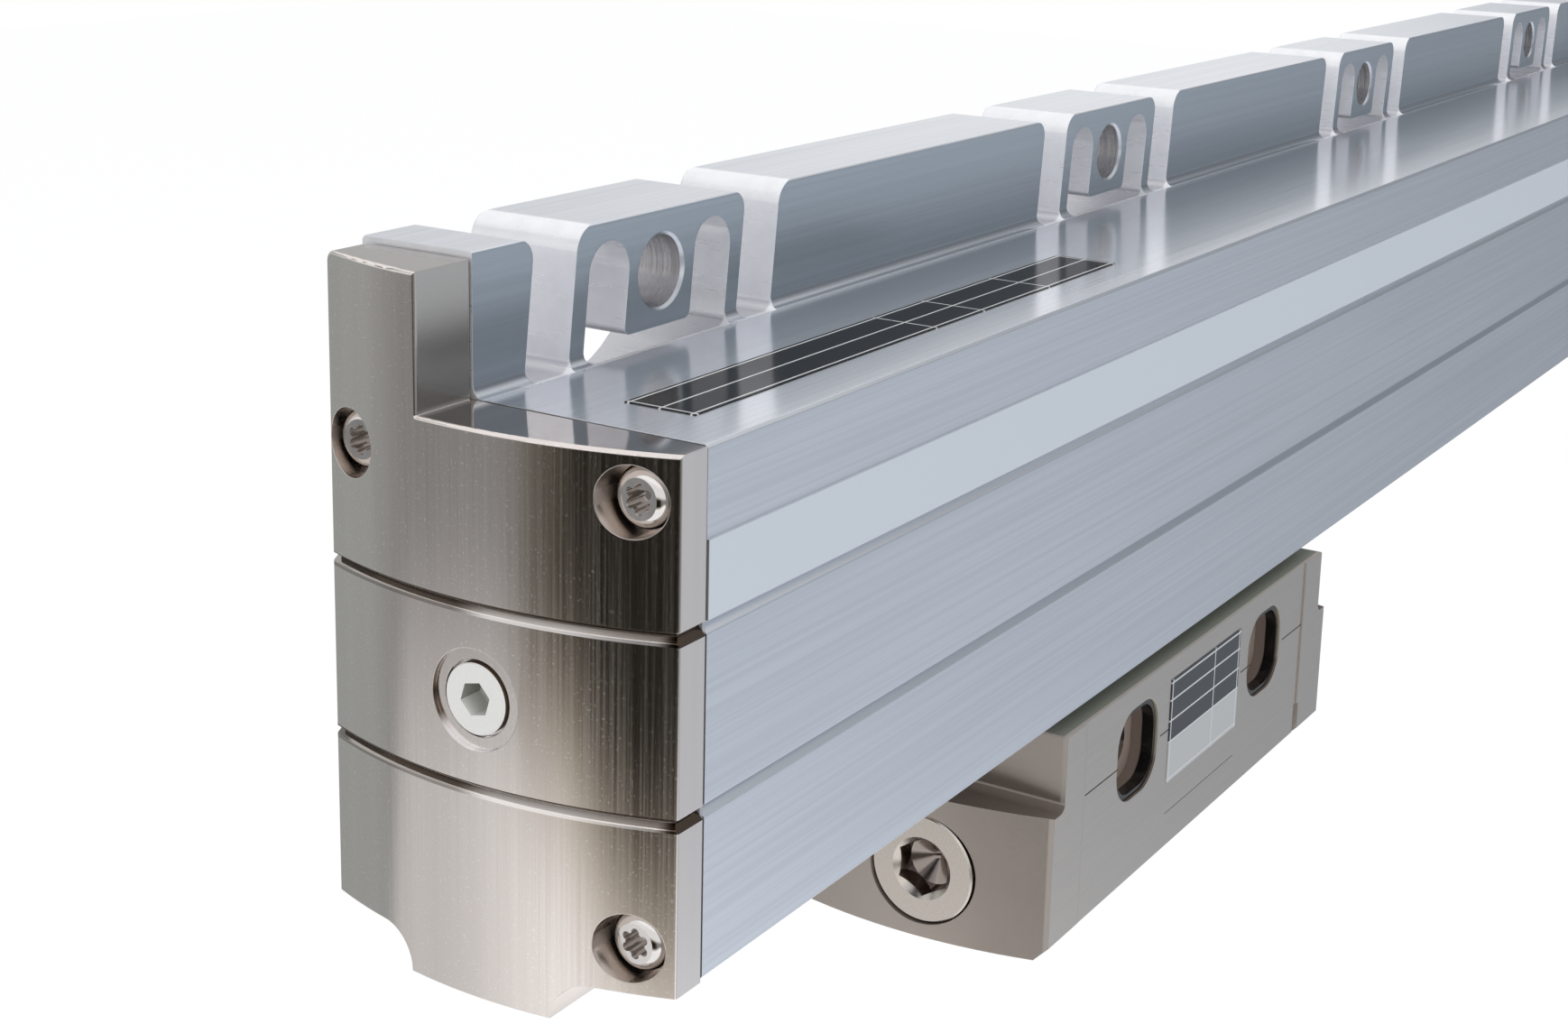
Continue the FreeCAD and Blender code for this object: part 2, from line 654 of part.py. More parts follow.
def sealing_lips():
    for name, side in (("sealing_lip_front", -1), ("sealing_lip_back", 1)):
        save(name, section(*lip_profile(side), x=(0.05, HOUSING_LENGTH - 0.05)))


def housing_label():
    """Bare foil strip on the ledge."""
    save("ledge_foil", box(LEDGE_FOIL_X, LEDGE_FOIL_Y, (0.0, FOIL_THICKNESS)))


# Scanning unit
def scanner_x(dx):
    return SCANNER_X + dx


def plan(start, *moves, z):
    """Solid of one outline in x and y, between two values of z."""
    outline = face(lambda a, b: Vector(a, b, z[0]), start, *moves)
    return outline.extrude(Z * (z[1] - z[0]))


def scanner_blank():
    """Lower block with convex ends, and an upper block that meets it in a hollow round."""
    top = SCANNER_TOP
    step = top - UPPER_HEIGHT
    bottom = SCANNER_BOTTOM
    half = LOWER_LENGTH / 2
    middle = (SCANNER_FRONT + SCANNER_BACK) / 2
    x0, x1 = scanner_x(-half), scanner_x(half)
    lower = plan(
        (x0, SCANNER_FRONT), (x1, SCANNER_FRONT),
        ((x1 + END_SAGITTA, middle), (x1, SCANNER_BACK)), (x0, SCANNER_BACK),
        ((x0 - END_SAGITTA, middle), (x0, SCANNER_FRONT)), z=(bottom, step),
    )
    r = STEP_RADIUS
    bend = r * (1 - math.sqrt(0.5))
    u0, u1 = scanner_x(-UPPER_LENGTH / 2), scanner_x(UPPER_LENGTH / 2)
    upper = elevation(
        (u0 - r, step), ((u0 - bend, step + bend), (u0, step + r)), (u0, top - 0.2),
        (u0 + 0.2, top), (u1 - 0.2, top), (u1, top - 0.2),
        (u1, step + r), ((u1 + bend, step + bend), (u1 + r, step)),
        (u1 + r, step - 1), (u0 - r, step - 1), y=(SCANNER_FRONT, SCANNER_BACK),
    )
    c = BOTTOM_CHAMFER
    shave = []
    for y, inward in ((SCANNER_FRONT, 1), (SCANNER_BACK, -1)):
        shave.append(section(
            (y, bottom + c), (y + inward * c, bottom), (y + inward * c, bottom - 1),
            (y - inward, bottom - 1), (y - inward, bottom + c), x=(x0 - 9, x1 + 9),
        ))
    return lower.fuse(upper).removeSplitter().cut(shave)


def pocket(xc, inset, y):
    """Rounded square recess around one mounting hole, drawn in by the inset."""
    h = POCKET_SIZE / 2 - inset
    r = POCKET_RADIUS - inset
    zc = SCANNER_HOLE_Z
    low_left = corner((xc - h, zc - h), (0, 1), (1, 0), r)
    low_right = corner((xc + h, zc - h), (-1, 0), (0, 1), r)
    top_right = corner((xc + h, zc + h), (0, -1), (-1, 0), r)
    top_left = corner((xc - h, zc + h), (1, 0), (0, -1), r)
    path = []
    for start, middle, end in (low_left, low_right, top_right, top_left):
        path += [start, (middle, end)]
    return elevation(*path, y=y)


def scanner_body():
    top = SCANNER_TOP
    bottom = SCANNER_BOTTOM
    half = LOWER_LENGTH / 2
    w = CHANNEL_WIDTH / 2
    long = (scanner_x(-half - 9), scanner_x(half + 9))
    cuts = [box(long, (MIDDLE - w, MIDDLE + w), (top - CHANNEL_DEPTH, top + 1))]
    relief = (scanner_x(RELIEF_DX[0]), scanner_x(RELIEF_DX[1]))
    skin = (SCANNER_FRONT - 1, SCANNER_FRONT + FRONT_RELIEF)
    cuts.append(box(relief, skin, (bottom - 1, top + 1)))
    notch = (relief[1] - FRONT_NOTCH_WIDTH / 2, relief[1] + FRONT_NOTCH_WIDTH / 2)
    notch_top = bottom + BOTTOM_CHAMFER + FRONT_NOTCH_HEIGHT
    skin = (SCANNER_FRONT - 1, SCANNER_FRONT + FRONT_NOTCH_DEPTH)
    cuts.append(box(notch, skin, (bottom - 1, notch_top)))
    for side in (-1, 1):
        xc = scanner_x(side * SCANNER_HOLE_SPACING / 2)
        front = SCANNER_FRONT
        cuts.append(pocket(xc, 0, (front - 1, front + POCKET_DEPTH)))
        start = Vector(xc, front, SCANNER_HOLE_Z)
        cuts.append(rod(SCANNER_HOLE_DIAMETER, start, Y, SCANNER_BACK - front + 1))
        mouth = scanner_x(side * (half + END_SAGITTA))
        into = X * -side
        port = Vector(mouth, PORT_Y, PORT_Z)
        cuts.append(rod(PORT_RECESS, port - into * 3, into, 3 + PORT_HEAD_HEIGHT))
        cuts.append(rod(PORT_THREAD, port, into, half + END_SAGITTA - CHAMBER_HALF + 1))
    chamber_x = (scanner_x(-CHAMBER_HALF), scanner_x(CHAMBER_HALF))
    cuts.append(box(chamber_x, (CHAMBER_FRONT, SCANNER_BACK + 1), (CHAMBER_BOTTOM, CHAMBER_TOP)))
    cuts.append(cover_plate(0.05, SCANNER_BACK - COVER_THICKNESS - COVER_SEAL, SCANNER_BACK + 1))
    for dx, z in COVER_SCREWS:
        hole = Vector(scanner_x(dx), SCANNER_BACK, z)
        cuts.append(rod(COVER_SCREW + 0.04, hole, Y * -1, COVER_SCREW_LENGTH + 1))
    for dx in FOOT_SCREWS_DX:
        for side in (-1, 1):
            hole = Vector(scanner_x(dx), MIDDLE + side * FOOT_SCREW_Y, top)
            cuts.append(rod(FOOT_SCREW + 0.04, hole, Z * -1, CHANNEL_DEPTH + FOOT_SCREW_LENGTH))
    lead = (scanner_x(LEAD_DX[0] - 0.5), scanner_x(LEAD_DX[1] + 0.5))
    cuts.append(box(lead, (BLADE_Y + 0.4, BLADE_Y + 1.6), (CHAMBER_TOP - 1, top)))
    body = scanner_blank().cut(cuts)
    posts = []
    for dx in (-BOARD_HALF + 2, BOARD_HALF - 2):
        for y in (BOARD_Y[0] + 2, BOARD_Y[1] - 2):
            post = Vector(scanner_x(dx), y, CHAMBER_BOTTOM - 0.5)
            posts.append(rod(3.5, post, Z, BOARD_Z - CHAMBER_BOTTOM + 0.5))
    return body.fuse(posts).removeSplitter()


def cover_plate(grow, y0, y1):
    """Plate of the rear cover's outline, grown by a clearance, between two values of y."""
    half = CHAMBER_HALF + COVER_RIM + 4 + grow
    z = (CHAMBER_BOTTOM - COVER_LAP - grow, CHAMBER_TOP + COVER_LAP + grow)
    return box((scanner_x(-half), scanner_x(half)), (y0, y1), z)


def rear_cover():
    inner = SCANNER_BACK - COVER_THICKNESS
    cover = cover_plate(0, inner, SCANNER_BACK)
    seal = cover_plate(0, inner - COVER_SEAL, inner)
    window = box(
        (scanner_x(-CHAMBER_HALF), scanner_x(CHAMBER_HALF)), (inner - 1, inner),
        (CHAMBER_BOTTOM, CHAMBER_TOP),
    )
    screws = []
    holes = []
    for dx, z in COVER_SCREWS:
        seat = Vector(scanner_x(dx), SCANNER_BACK, z)
        r = COVER_SCREW
        head = Part.makeCone(r, r / 2, r / 2, seat, Y * -1)
        shank = rod(COVER_SCREW, seat, Y * -1, COVER_SCREW_LENGTH)
        screw = head.fuse(shank).removeSplitter()
        slot_core = Vector(scanner_x(dx), SCANNER_BACK - 0.6, z)
        screws.append(screw.cut(rod(1.2, slot_core, Y, 1)))
        holes.append(Part.makeCone(r + 0.03, r / 2, r / 2 + 0.03, seat, Y * -1))
        holes.append(rod(COVER_SCREW + 0.2, seat, Y * -1, COVER_SCREW_LENGTH))
    save("rear_cover", cover.cut(holes))
    save("cover_seal", seal.cut([window] + holes))
    save("cover_screws", *screws)


def blanking_plug():
    """Threaded plug with a flat head and a hexagon socket, on a sealing ring under its head."""
    x = scanner_x(-LOWER_LENGTH / 2 - END_SAGITTA)
    centre = Vector(x + PORT_INSET, PORT_Y, PORT_Z)
    depth = PORT_HEAD_HEIGHT - PORT_INSET
    head = rod(PORT_HEAD, centre, X, depth - PORT_SEAL)
    outer = min(head.Edges, key=lambda e: e.CenterOfMass.x)
    head = head.makeChamfer(0.2, [outer])
    thread = rod(PORT_THREAD - 0.04, centre, X, depth + PORT_THREAD_LENGTH)
    plug = head.fuse(thread).removeSplitter()
    flare = Part.makeCone(PORT_HEX * 0.62, PORT_HEX * 0.48, 0.8, centre, X)
    floor = centre + X * PORT_HEX_DEPTH
    point = Part.makeCone(PORT_HEX / 2, 0, PORT_HEX_POINT, floor, X)
    plug = plug.cut([hexagon(PORT_HEX, centre, X, PORT_HEX_DEPTH), flare, point])
    save("blanking_plug", plug)
    under = centre + X * (depth - PORT_SEAL)
    ring = rod(PORT_SEAL_WIDTH, under, X, PORT_SEAL)
    save("plug_seal", ring.cut(rod(PORT_THREAD, under, X, PORT_SEAL)))


def signal_socket():
    """Round socket for the signal cable in the other end, with its contacts."""
    x = scanner_x(LOWER_LENGTH / 2 + END_SAGITTA)
    centre = Vector(x - PORT_INSET, PORT_Y, PORT_Z)
    inward = X * -1
    depth = PORT_HEAD_HEIGHT - PORT_INSET
    shell = rod(PORT_RECESS - 0.06, centre, inward, depth)
    shell = shell.fuse(rod(PORT_THREAD - 0.04, centre, inward, depth + PORT_THREAD_LENGTH))
    well = rod(SOCKET_WELL, centre, inward, SOCKET_DEPTH)
    holes = []
    pins = []
    for k in range(CONTACT_COUNT):
        angle = 2 * math.pi * k / CONTACT_COUNT
        across = Y * (CONTACT_RING * math.cos(angle)) + Z * (CONTACT_RING * math.sin(angle))
        start = centre + inward * (SOCKET_DEPTH - CONTACT_REACH) + across
        pins.append(rod(CONTACT_DIAMETER, start, inward, CONTACT_LENGTH))
        holes.append(rod(CONTACT_DIAMETER, start, inward, CONTACT_LENGTH))
    save("signal_socket", shell.removeSplitter().cut([well] + holes))
    save("socket_contacts", *pins)


def circuit_board():
    top = BOARD_Z + BOARD_THICKNESS
    board = box((scanner_x(-BOARD_HALF), scanner_x(BOARD_HALF)), BOARD_Y, (BOARD_Z, top))
    save("circuit_board", board)
    parts = []
    for dx, y, w, d, h in BOARD_PARTS:
        x = scanner_x(dx)
        y += MIDDLE
        parts.append(box((x - w / 2, x + w / 2), (y - d / 2, y + d / 2), (top, top + h)))
    save("board_components", *parts)


def pocket_liners():
    """Black inserts that line the two pockets."""
    front = SCANNER_FRONT
    y = (front + LINER_INSET, front + POCKET_DEPTH)
    liners = []
    for side in (-1, 1):
        xc = scanner_x(side * SCANNER_HOLE_SPACING / 2)
        liners.append(pocket(xc, 0.02, y).cut(pocket(xc, LINER_WALL, (front, front + 9))))
    save("pocket_liners", *liners)


def blade():
    """Narrow blade that reaches through the sealing lips, with its foot and coupling boss."""
    floor = SCANNER_TOP - CHANNEL_DEPTH
    t = BLADE_THICKNESS / 2
    c = BLADE_NOSE
    x0, x1 = scanner_x(-BLADE_HALF), scanner_x(BLADE_HALF)
    plate = plan(
        (x0, BLADE_Y), (x0 + c, BLADE_Y - t), (x1 - c, BLADE_Y - t), (x1, BLADE_Y),
        (x1 - c, BLADE_Y + t), (x0 + c, BLADE_Y + t), z=(floor, BLADE_TOP),
    )
    foot = box((x0, x1), (BLADE_Y - FOOT_WIDTH / 2, BLADE_Y + FOOT_WIDTH / 2),
               (floor, floor + FOOT_THICKNESS))
    boss = box((scanner_x(BOSS_DX[0]), scanner_x(BOSS_DX[1])), (BLADE_Y, BOSS_BACK), BOSS_Z)
    cuts = [rod(ROD_DIAMETER + 2 * ROD_SOCKET_CLEARANCE,
                Vector(scanner_x(BOSS_DX[0] - 1), ROD_Y, ROD_Z), X, BOSS_DX[1] - BOSS_DX[0] + 2)]
    screws = []
    for dx in FOOT_SCREWS_DX:
        for side in (-1, 1):
            seat = Vector(scanner_x(dx), MIDDLE + side * FOOT_SCREW_Y, floor + FOOT_THICKNESS)
            cuts.append(rod(FOOT_SCREW + 0.2, seat, Z * -1, 3))
            r = FOOT_SCREW / 2
            head = rod(FOOT_SCREW * 1.7, seat, Z, 0.9)
            shank = rod(FOOT_SCREW, seat, Z * -1, FOOT_SCREW_LENGTH)
            screw = head.fuse(shank).removeSplitter()
            screws.append(screw.cut(hexagon_z(1.2, seat + Z * 0.9, 0.5)))
    lead = box((scanner_x(LEAD_DX[0]), scanner_x(LEAD_DX[1])),
               (BLADE_Y + t, BLADE_Y + t + LEAD_THICKNESS), (CHAMBER_TOP + 0.5, LEAD_TOP))
    cuts.append(lead)
    save("coupling_blade", plate.fuse([foot, boss]).removeSplitter().cut(cuts))
    save("blade_screws", *screws)
    save("ribbon_lead", lead)


def hexagon_z(across, centre, depth):
    corners = []
    for k in range(7):
        angle = math.radians(60 * k)
        reach = across / math.sqrt(3)
        corners.append(centre + X * (reach * math.cos(angle)) + Y * (reach * math.sin(angle)))
    return Part.Face(Part.makePolygon(corners)).extrude(Z * -depth)


def coupling_rod():
    """Rod along x with collars; it may shift a little in its two sockets."""
    x0 = BOSS_DX[0] - 2
    length = LUG_DX[1] + 2 - x0
    shape = rod(ROD_DIAMETER, Vector(scanner_x(x0), ROD_Y, ROD_Z), X, length)
    collars = []
    for dx in (BOSS_DX[0] - COLLAR - 0.05, BOSS_DX[1] + 0.05, LUG_DX[0] - COLLAR - 0.05,
               LUG_DX[1] + 0.05):
        collars.append(rod(COLLAR_DIAMETER, Vector(scanner_x(dx), ROD_Y, ROD_Z), X, COLLAR))
    save("coupling_rod", shape.fuse(collars).removeSplitter())


# Scanning carriage inside the housing
def roller_places():
    """Name, centre, axis, diameter of each roller that runs on the glass."""
    g = GLASS_THICKNESS / 2
    back = GLASS_Y + g + ROLL_GAP + FACE_ROLLER / 2
    front = GLASS_Y - g - ROLL_GAP - PRESS_ROLLER / 2
    below = GLASS_BOTTOM - ROLL_GAP - EDGE_ROLLER / 2
    places = []
    for word, dx in (("left", -ROLLER_DX), ("right", ROLLER_DX)):
        x = scanner_x(dx)
        places.append(("face_roller_" + word, Vector(x, back, FACE_ROLLER_Z), Z, FACE_ROLLER))
        places.append(("press_roller_" + word, Vector(x, front, FACE_ROLLER_Z), Z, PRESS_ROLLER))
        places.append(("edge_roller_" + word, Vector(x, GLASS_Y, below), Y, EDGE_ROLLER))
    return places


def rollers():
    pins = []
    for name, centre, axis, diameter in roller_places():
        start = centre - axis * (ROLLER_WIDTH / 2)
        tyre = rod(diameter, start, axis, ROLLER_WIDTH)
        bore = rod(ROLLER_PIN + 2 * ROLLER_CLEARANCE, start, axis, ROLLER_WIDTH)
        groove = rod(diameter + 1, centre - axis * 0.2, axis, 0.4)
        groove = groove.cut(rod(diameter - 0.5, centre - axis * 0.2, axis, 0.4))
        rims = [e for e in tyre.Edges if e.Closed]
        tyre = tyre.makeChamfer(0.15, rims)
        save(name, tyre.cut([bore, groove]))
        reach = ROLLER_WIDTH / 2 + PIN_HOLD
        pins.append(rod(ROLLER_PIN, centre - axis * reach, axis, 2 * reach))
    save("roller_pins", *pins)
    return pins


def carriage():
    g = GLASS_THICKNESS / 2 + ARM_GAP
    f0, f1 = GLASS_Y - g - ARM_THICKNESS, GLASS_Y - g
    b0, b1 = GLASS_Y + g, GLASS_Y + g + ARM_THICKNESS
    shelf = LUG_Y[1] + 0.4
    span = (scanner_x(-CARRIAGE_HALF), scanner_x(CARRIAGE_HALF))
    frame = section(
        (f0, BASE_BOTTOM), (f0, ARM_TOP), (f1, ARM_TOP), (f1, BASE_TOP), (b0, BASE_TOP),
        (b0, ARM_TOP), (b1, ARM_TOP), (b1, SHELF_TOP), (shelf, SHELF_TOP), (shelf, BASE_BOTTOM),
        x=span,
    )
    lug = box((scanner_x(LUG_DX[0]), scanner_x(LUG_DX[1])), LUG_Y, (LUG_BOTTOM, BASE_BOTTOM))
    frame = frame.fuse(lug).removeSplitter()
    cuts = [rod(ROD_DIAMETER + 2 * ROD_SOCKET_CLEARANCE,
                Vector(scanner_x(LUG_DX[0] - 1), ROD_Y, ROD_Z), X, LUG_DX[1] - LUG_DX[0] + 2)]
    for side in (-1, 1):
        notch = sorted((side * NOTCH_DX[0], side * NOTCH_DX[1]))
        cuts.append(box((scanner_x(notch[0]), scanner_x(notch[1])), (f0 - 1, b1 + 1),
                        (NOTCH_BOTTOM, 0)))
    w = ROLLER_WIDTH / 2 + 0.25
    for name, centre, axis, diameter in roller_places():
        r = diameter / 2 + 0.4
        if axis == Z:
            y = (f0 - 1, f1 + 0.5) if centre.y < GLASS_Y else (b0 - 0.5, b1 + 1)
            cuts.append(box((centre.x - r, centre.x + r), y, (centre.z - w, centre.z + w)))
        else:
            cuts.append(box((centre.x - r, centre.x + r), (centre.y - w, centre.y + w),
                            (centre.z - r, BASE_TOP + 1)))
        reach = ROLLER_WIDTH / 2 + PIN_HOLD
        cuts.append(rod(ROLLER_PIN, centre - axis * reach, axis, 2 * reach))
    x = scanner_x(0)
    cuts.append(rod(LENS_DIAMETER + 0.04, Vector(x, f0 - 1, OPTICS_Z), Y, ARM_THICKNESS + 2))
    h = RETICLE_SIZE / 2
    cuts.append(box((x - h, x + h), (b0 - 1, b0 + RETICLE_THICKNESS), (OPTICS_Z - h, OPTICS_Z + h)))
    k = h - 1
    cuts.append(box((x - k, x + k), (b0, b1 + 1), (OPTICS_Z - k, OPTICS_Z + k)))
    save("carriage_frame", frame.cut(cuts))
    optics(f0, f1, b0, b1)


def optics(f0, f1, b0, b1):
    """Lamp and lens in the front arm, reticle, light sensors and their board in the back arm."""
    x = scanner_x(0)
    lens_back = f1 - LENS_THICKNESS
    disc = rod(LENS_DIAMETER, Vector(x, lens_back, OPTICS_Z), Y, 0.6)
    bulge = LENS_THICKNESS - 0.6
    ball = arc_radius(bulge, LENS_DIAMETER)
    dome = Part.makeSphere(ball, Vector(x, f1 - ball, OPTICS_Z))
    dome = dome.common(rod(LENS_DIAMETER, Vector(x, lens_back + 0.6, OPTICS_Z), Y, bulge))
    save("condenser_lens", disc.fuse(dome).removeSplitter())
    lamp = rod(LENS_DIAMETER, Vector(x, f0 - 0.3, OPTICS_Z), Y, 1.2)
    lamp = lamp.fuse(Part.makeSphere(0.7, Vector(x, f0 + 0.9, OPTICS_Z))).removeSplitter()
    save("lamp", lamp)
    h = RETICLE_SIZE / 2 - 0.02
    save("scanning_reticle", box((x - h, x + h), (b0, b0 + RETICLE_THICKNESS),
                                 (OPTICS_Z - h, OPTICS_Z + h)))
    board_y = (b1, b1 + 1.0)
    board_x = (x - SENSOR_BOARD / 2, x + SENSOR_BOARD / 2)
    board = box(board_x, board_y, (OPTICS_Z - 6, OPTICS_Z + 6))
    save("sensor_board", board)
    cells = []
    for dx in (-1.5, 1.5):
        for dz in (-1.5, 1.5):
            cells.append(box((x + dx - 1.2, x + dx + 1.2), (b1 - 0.8, b1),
                             (OPTICS_Z + dz - 1.2, OPTICS_Z + dz + 1.2)))
    save("light_sensors", *cells)
    low, high = FACE_ROLLER_Z - 1.2, FACE_ROLLER_Z + 1.2
    leaf = box((scanner_x(-CARRIAGE_HALF + 2), scanner_x(-5)), (f0 - 0.9, f0 - 0.6), (low, high))
    foot = box((scanner_x(-9), scanner_x(-5)), (f0 - 0.9, f0), (low, high))
    spring = leaf.fuse(foot).removeSplitter()
    save("press_springs", spring, mirror_x(spring, scanner_x(0)))


def scanner_foil():
    """Bare foil on the front of the scanning unit."""
    front = SCANNER_FRONT + FRONT_RELIEF
    save("scanner_foil", box(SCANNER_FOIL_X, (front - FOIL_THICKNESS, front), SCANNER_FOIL_Z))


save("scale_housing", housing())
scale_and_bond()
end_pieces()
sealing_lips()
housing_label()
save("scanner_body", scanner_body())
rear_cover()
blanking_plug()
signal_socket()
circuit_board()
pocket_liners()
scanner_foil()
blade()
coupling_rod()
rollers()
carriage()
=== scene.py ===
import math

import bmesh
import bpy
from mathutils import Matrix, Vector


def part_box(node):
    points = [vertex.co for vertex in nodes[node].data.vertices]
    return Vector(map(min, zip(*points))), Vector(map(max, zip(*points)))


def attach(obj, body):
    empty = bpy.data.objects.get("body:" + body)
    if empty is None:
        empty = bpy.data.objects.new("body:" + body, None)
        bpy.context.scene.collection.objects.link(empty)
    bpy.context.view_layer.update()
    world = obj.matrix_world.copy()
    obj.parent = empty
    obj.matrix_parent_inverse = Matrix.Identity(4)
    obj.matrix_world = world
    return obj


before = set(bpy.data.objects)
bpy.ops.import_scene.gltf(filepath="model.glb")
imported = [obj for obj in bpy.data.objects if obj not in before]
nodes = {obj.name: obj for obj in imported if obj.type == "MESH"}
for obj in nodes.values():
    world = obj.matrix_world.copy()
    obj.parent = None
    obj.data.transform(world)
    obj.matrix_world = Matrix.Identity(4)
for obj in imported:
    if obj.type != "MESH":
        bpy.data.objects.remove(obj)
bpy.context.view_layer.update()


# Places in the part's frame, in metres: the origin is the middle flange hole on the mounting face
FRONT_Y = -0.037
LEDGE_Z = -0.0068
FLANGE_FRONT_Y = -0.0123
FLANGE_TOP_Z = 0.0060
FLANGE_FOOT_Y = -0.0136
FLANGE_FOOT_Z = -0.0131
BAND_TOP_Z = LEDGE_Z - 0.0080
BAND_BOTTOM_Z = LEDGE_Z - 0.0149
GROOVE_Z = (LEDGE_Z - 0.0155, LEDGE_Z - 0.0317)
GROOVE_HALF = 0.0006
HOLE_PITCH = 0.1
HOLE_RADIUS = 0.0035
HOUSING_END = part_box("scale_housing")[1].x
AIR_PLUG_Y = FRONT_Y / 2
AIR_PLUG_Z = LEDGE_Z - 0.0236
CAP_SCREWS = ((FRONT_Y + 0.0040, LEDGE_Z - 0.0042), (FRONT_Y + 0.0040, LEDGE_Z - 0.0431),
              (FRONT_Y + 0.0337, LEDGE_Z - 0.0042))
COUNTERBORE_RADIUS = 0.0031
SCREW_SOCKET_RADIUS = 0.0014
SCREW_FACE_X = -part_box("cap_screws_left")[0].x
PLUG_HEAD_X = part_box("blanking_plug")[0].x
SCANNER_FRONT_Y = -0.038
SCANNER_TOP_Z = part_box("scanner_body")[1].z
SCANNER_POCKETS = (-0.4384, -0.3979)
SCANNER_POCKET_Z = -0.0644
POCKET_FLOOR_Y = SCANNER_FRONT_Y + 0.0031
LINER_END_Y = SCANNER_FRONT_Y + 0.0020
RELIEF_Y = SCANNER_FRONT_Y + 0.0002

# Cells of noise per metre along x, y and z
FINE_GRAIN = (2600.0, 2600.0, 2600.0)
BRUSHED_GRAIN = (60.0, 3000.0, 3000.0)

WHITE = (1.0, 1.0, 1.0, 1.0)


def rgb(red, green, blue):
    """Linear colour from screen values of 0 to 255."""
    out = []
    for value in (red, green, blue):
        v = value / 255
        out.append(v / 12.92 if v <= 0.04045 else ((v + 0.055) / 1.055) ** 2.4)
    return (*out, 1.0)


def scaled(colour, factor, offset=0.0):
    """Colour with each of its parts multiplied and raised, up to 1."""
    return tuple(min(1.0, part * factor + offset) for part in colour[:3]) + (1.0,)


def add_object(name, data):
    made = bpy.data.objects.new(name, data)
    bpy.context.scene.collection.objects.link(made)
    return made


class Nodes:
    """An empty node tree, and short ways to add nodes to it."""

    def __init__(self, tree):
        self.tree = tree
        self.tree.nodes.clear()

    def node(self, kind, values=(), **settings):
        made = self.tree.nodes.new(kind)
        for key, value in settings.items():
            setattr(made, key, value)
        self.fill(made, dict(values))
        return made

    def fill(self, made, values):
        for key, value in values.items():
            if isinstance(value, bpy.types.NodeSocket):
                self.tree.links.new(value, made.inputs[key])
            else:
                made.inputs[key].default_value = value

    def maths(self, operation, *values):
        return self.node("ShaderNodeMath", enumerate(values), operation=operation).outputs[0]

    def fold(self, operation, values):
        """The operation done between all values, one after the other."""
        out = values[0]
        for value in values[1:]:
            out = self.maths(operation, out, value)
        return out

    def total(self, *values):
        return self.fold("ADD", values)

    def product(self, *values):
        return self.fold("MULTIPLY", values)

    def most(self, *values):
        return self.fold("MAXIMUM", values)

    def less(self, first, second):
        return self.maths("SUBTRACT", first, second)

    def rest(self, value):
        """What a value leaves of 1."""
        return self.less(1.0, value)

    def size(self, value):
        """A value without its sign."""
        return self.maths("ABSOLUTE", value)

    def distance(self, first, second):
        """Length of the two sides together, as the long side of a right triangle."""
        squares = self.total(self.product(first, first), self.product(second, second))
        return self.maths("SQRT", squares)

    def vector(self, operation, *values):
        made = self.node("ShaderNodeVectorMath", enumerate(values), operation=operation)
        return made.outputs["Value" if operation == "DOT_PRODUCT" else "Vector"]

    def axes(self, socket):
        return self.node("ShaderNodeSeparateXYZ", {0: socket}).outputs

    def ramp(self, value, low, high, start=0.0, end=1.0):
        """Goes smoothly from start to end while the value goes from low to high."""
        values = {0: value, 1: low, 2: high, 3: start, 4: end}
        made = self.node("ShaderNodeMapRange", values, interpolation_type="SMOOTHSTEP")
        return made.outputs[0]

    def vary(self, noise, start, end):
        """Wanders from start to end with a noise."""
        return self.ramp(noise, 0.3, 0.7, start, end)

    def choose(self, factor, first, second):
        """Number that goes from the first to the second."""
        return self.node("ShaderNodeMix", {0: factor, 2: first, 3: second}).outputs[0]

    def mix(self, factor, first, second):
        """Colour that goes from the first to the second."""
        made = self.node("ShaderNodeMix", data_type="RGBA")
        self.fill(made, {0: factor, 6: first, 7: second})
        return made.outputs[2]

    def layers(self, colour, *coats):
        """Colour with others laid over it, each by its own factor."""
        for factor, coat in coats:
            colour = self.mix(factor, colour, coat)
        return colour


class Surface(Nodes):
    """A node material with one principled shader."""

    def __init__(self, name):
        self.material = bpy.data.materials.new(name)
        self.material.use_nodes = True
        super().__init__(self.material.node_tree)
        self.shader = self.node("ShaderNodeBsdfPrincipled")
        self.output = self.node("ShaderNodeOutputMaterial", {0: self.shader.outputs[0]})
        coords = self.node("ShaderNodeTexCoord")
        self.place = coords.outputs["Object"]
        self.normal = coords.outputs["Normal"]

    def shade(self, **values):
        self.fill(self.shader, {k.replace("_", " "): v for k, v in values.items()})

    def noise(self, scale, detail=2.0, roughness=0.5):
        """Noise with a number of cells per metre along each axis."""
        placed = self.node("ShaderNodeMapping", {"Vector": self.place, "Scale": scale})
        values = {"Vector": placed.outputs[0], "Scale": 1.0, "Detail": detail}
        values["Roughness"] = roughness
        return self.node("ShaderNodeTexNoise", values).outputs[0]

    def bump(self, height, distance, strength=1.0, under=None):
        values = {"Height": height, "Distance": distance, "Strength": strength}
        if under is not None:
            values["Normal"] = under
        return self.node("ShaderNodeBump", values).outputs[0]

    def rounded(self, radius):
        return self.node("ShaderNodeBevel", {"Radius": radius}, samples=4).outputs[0]


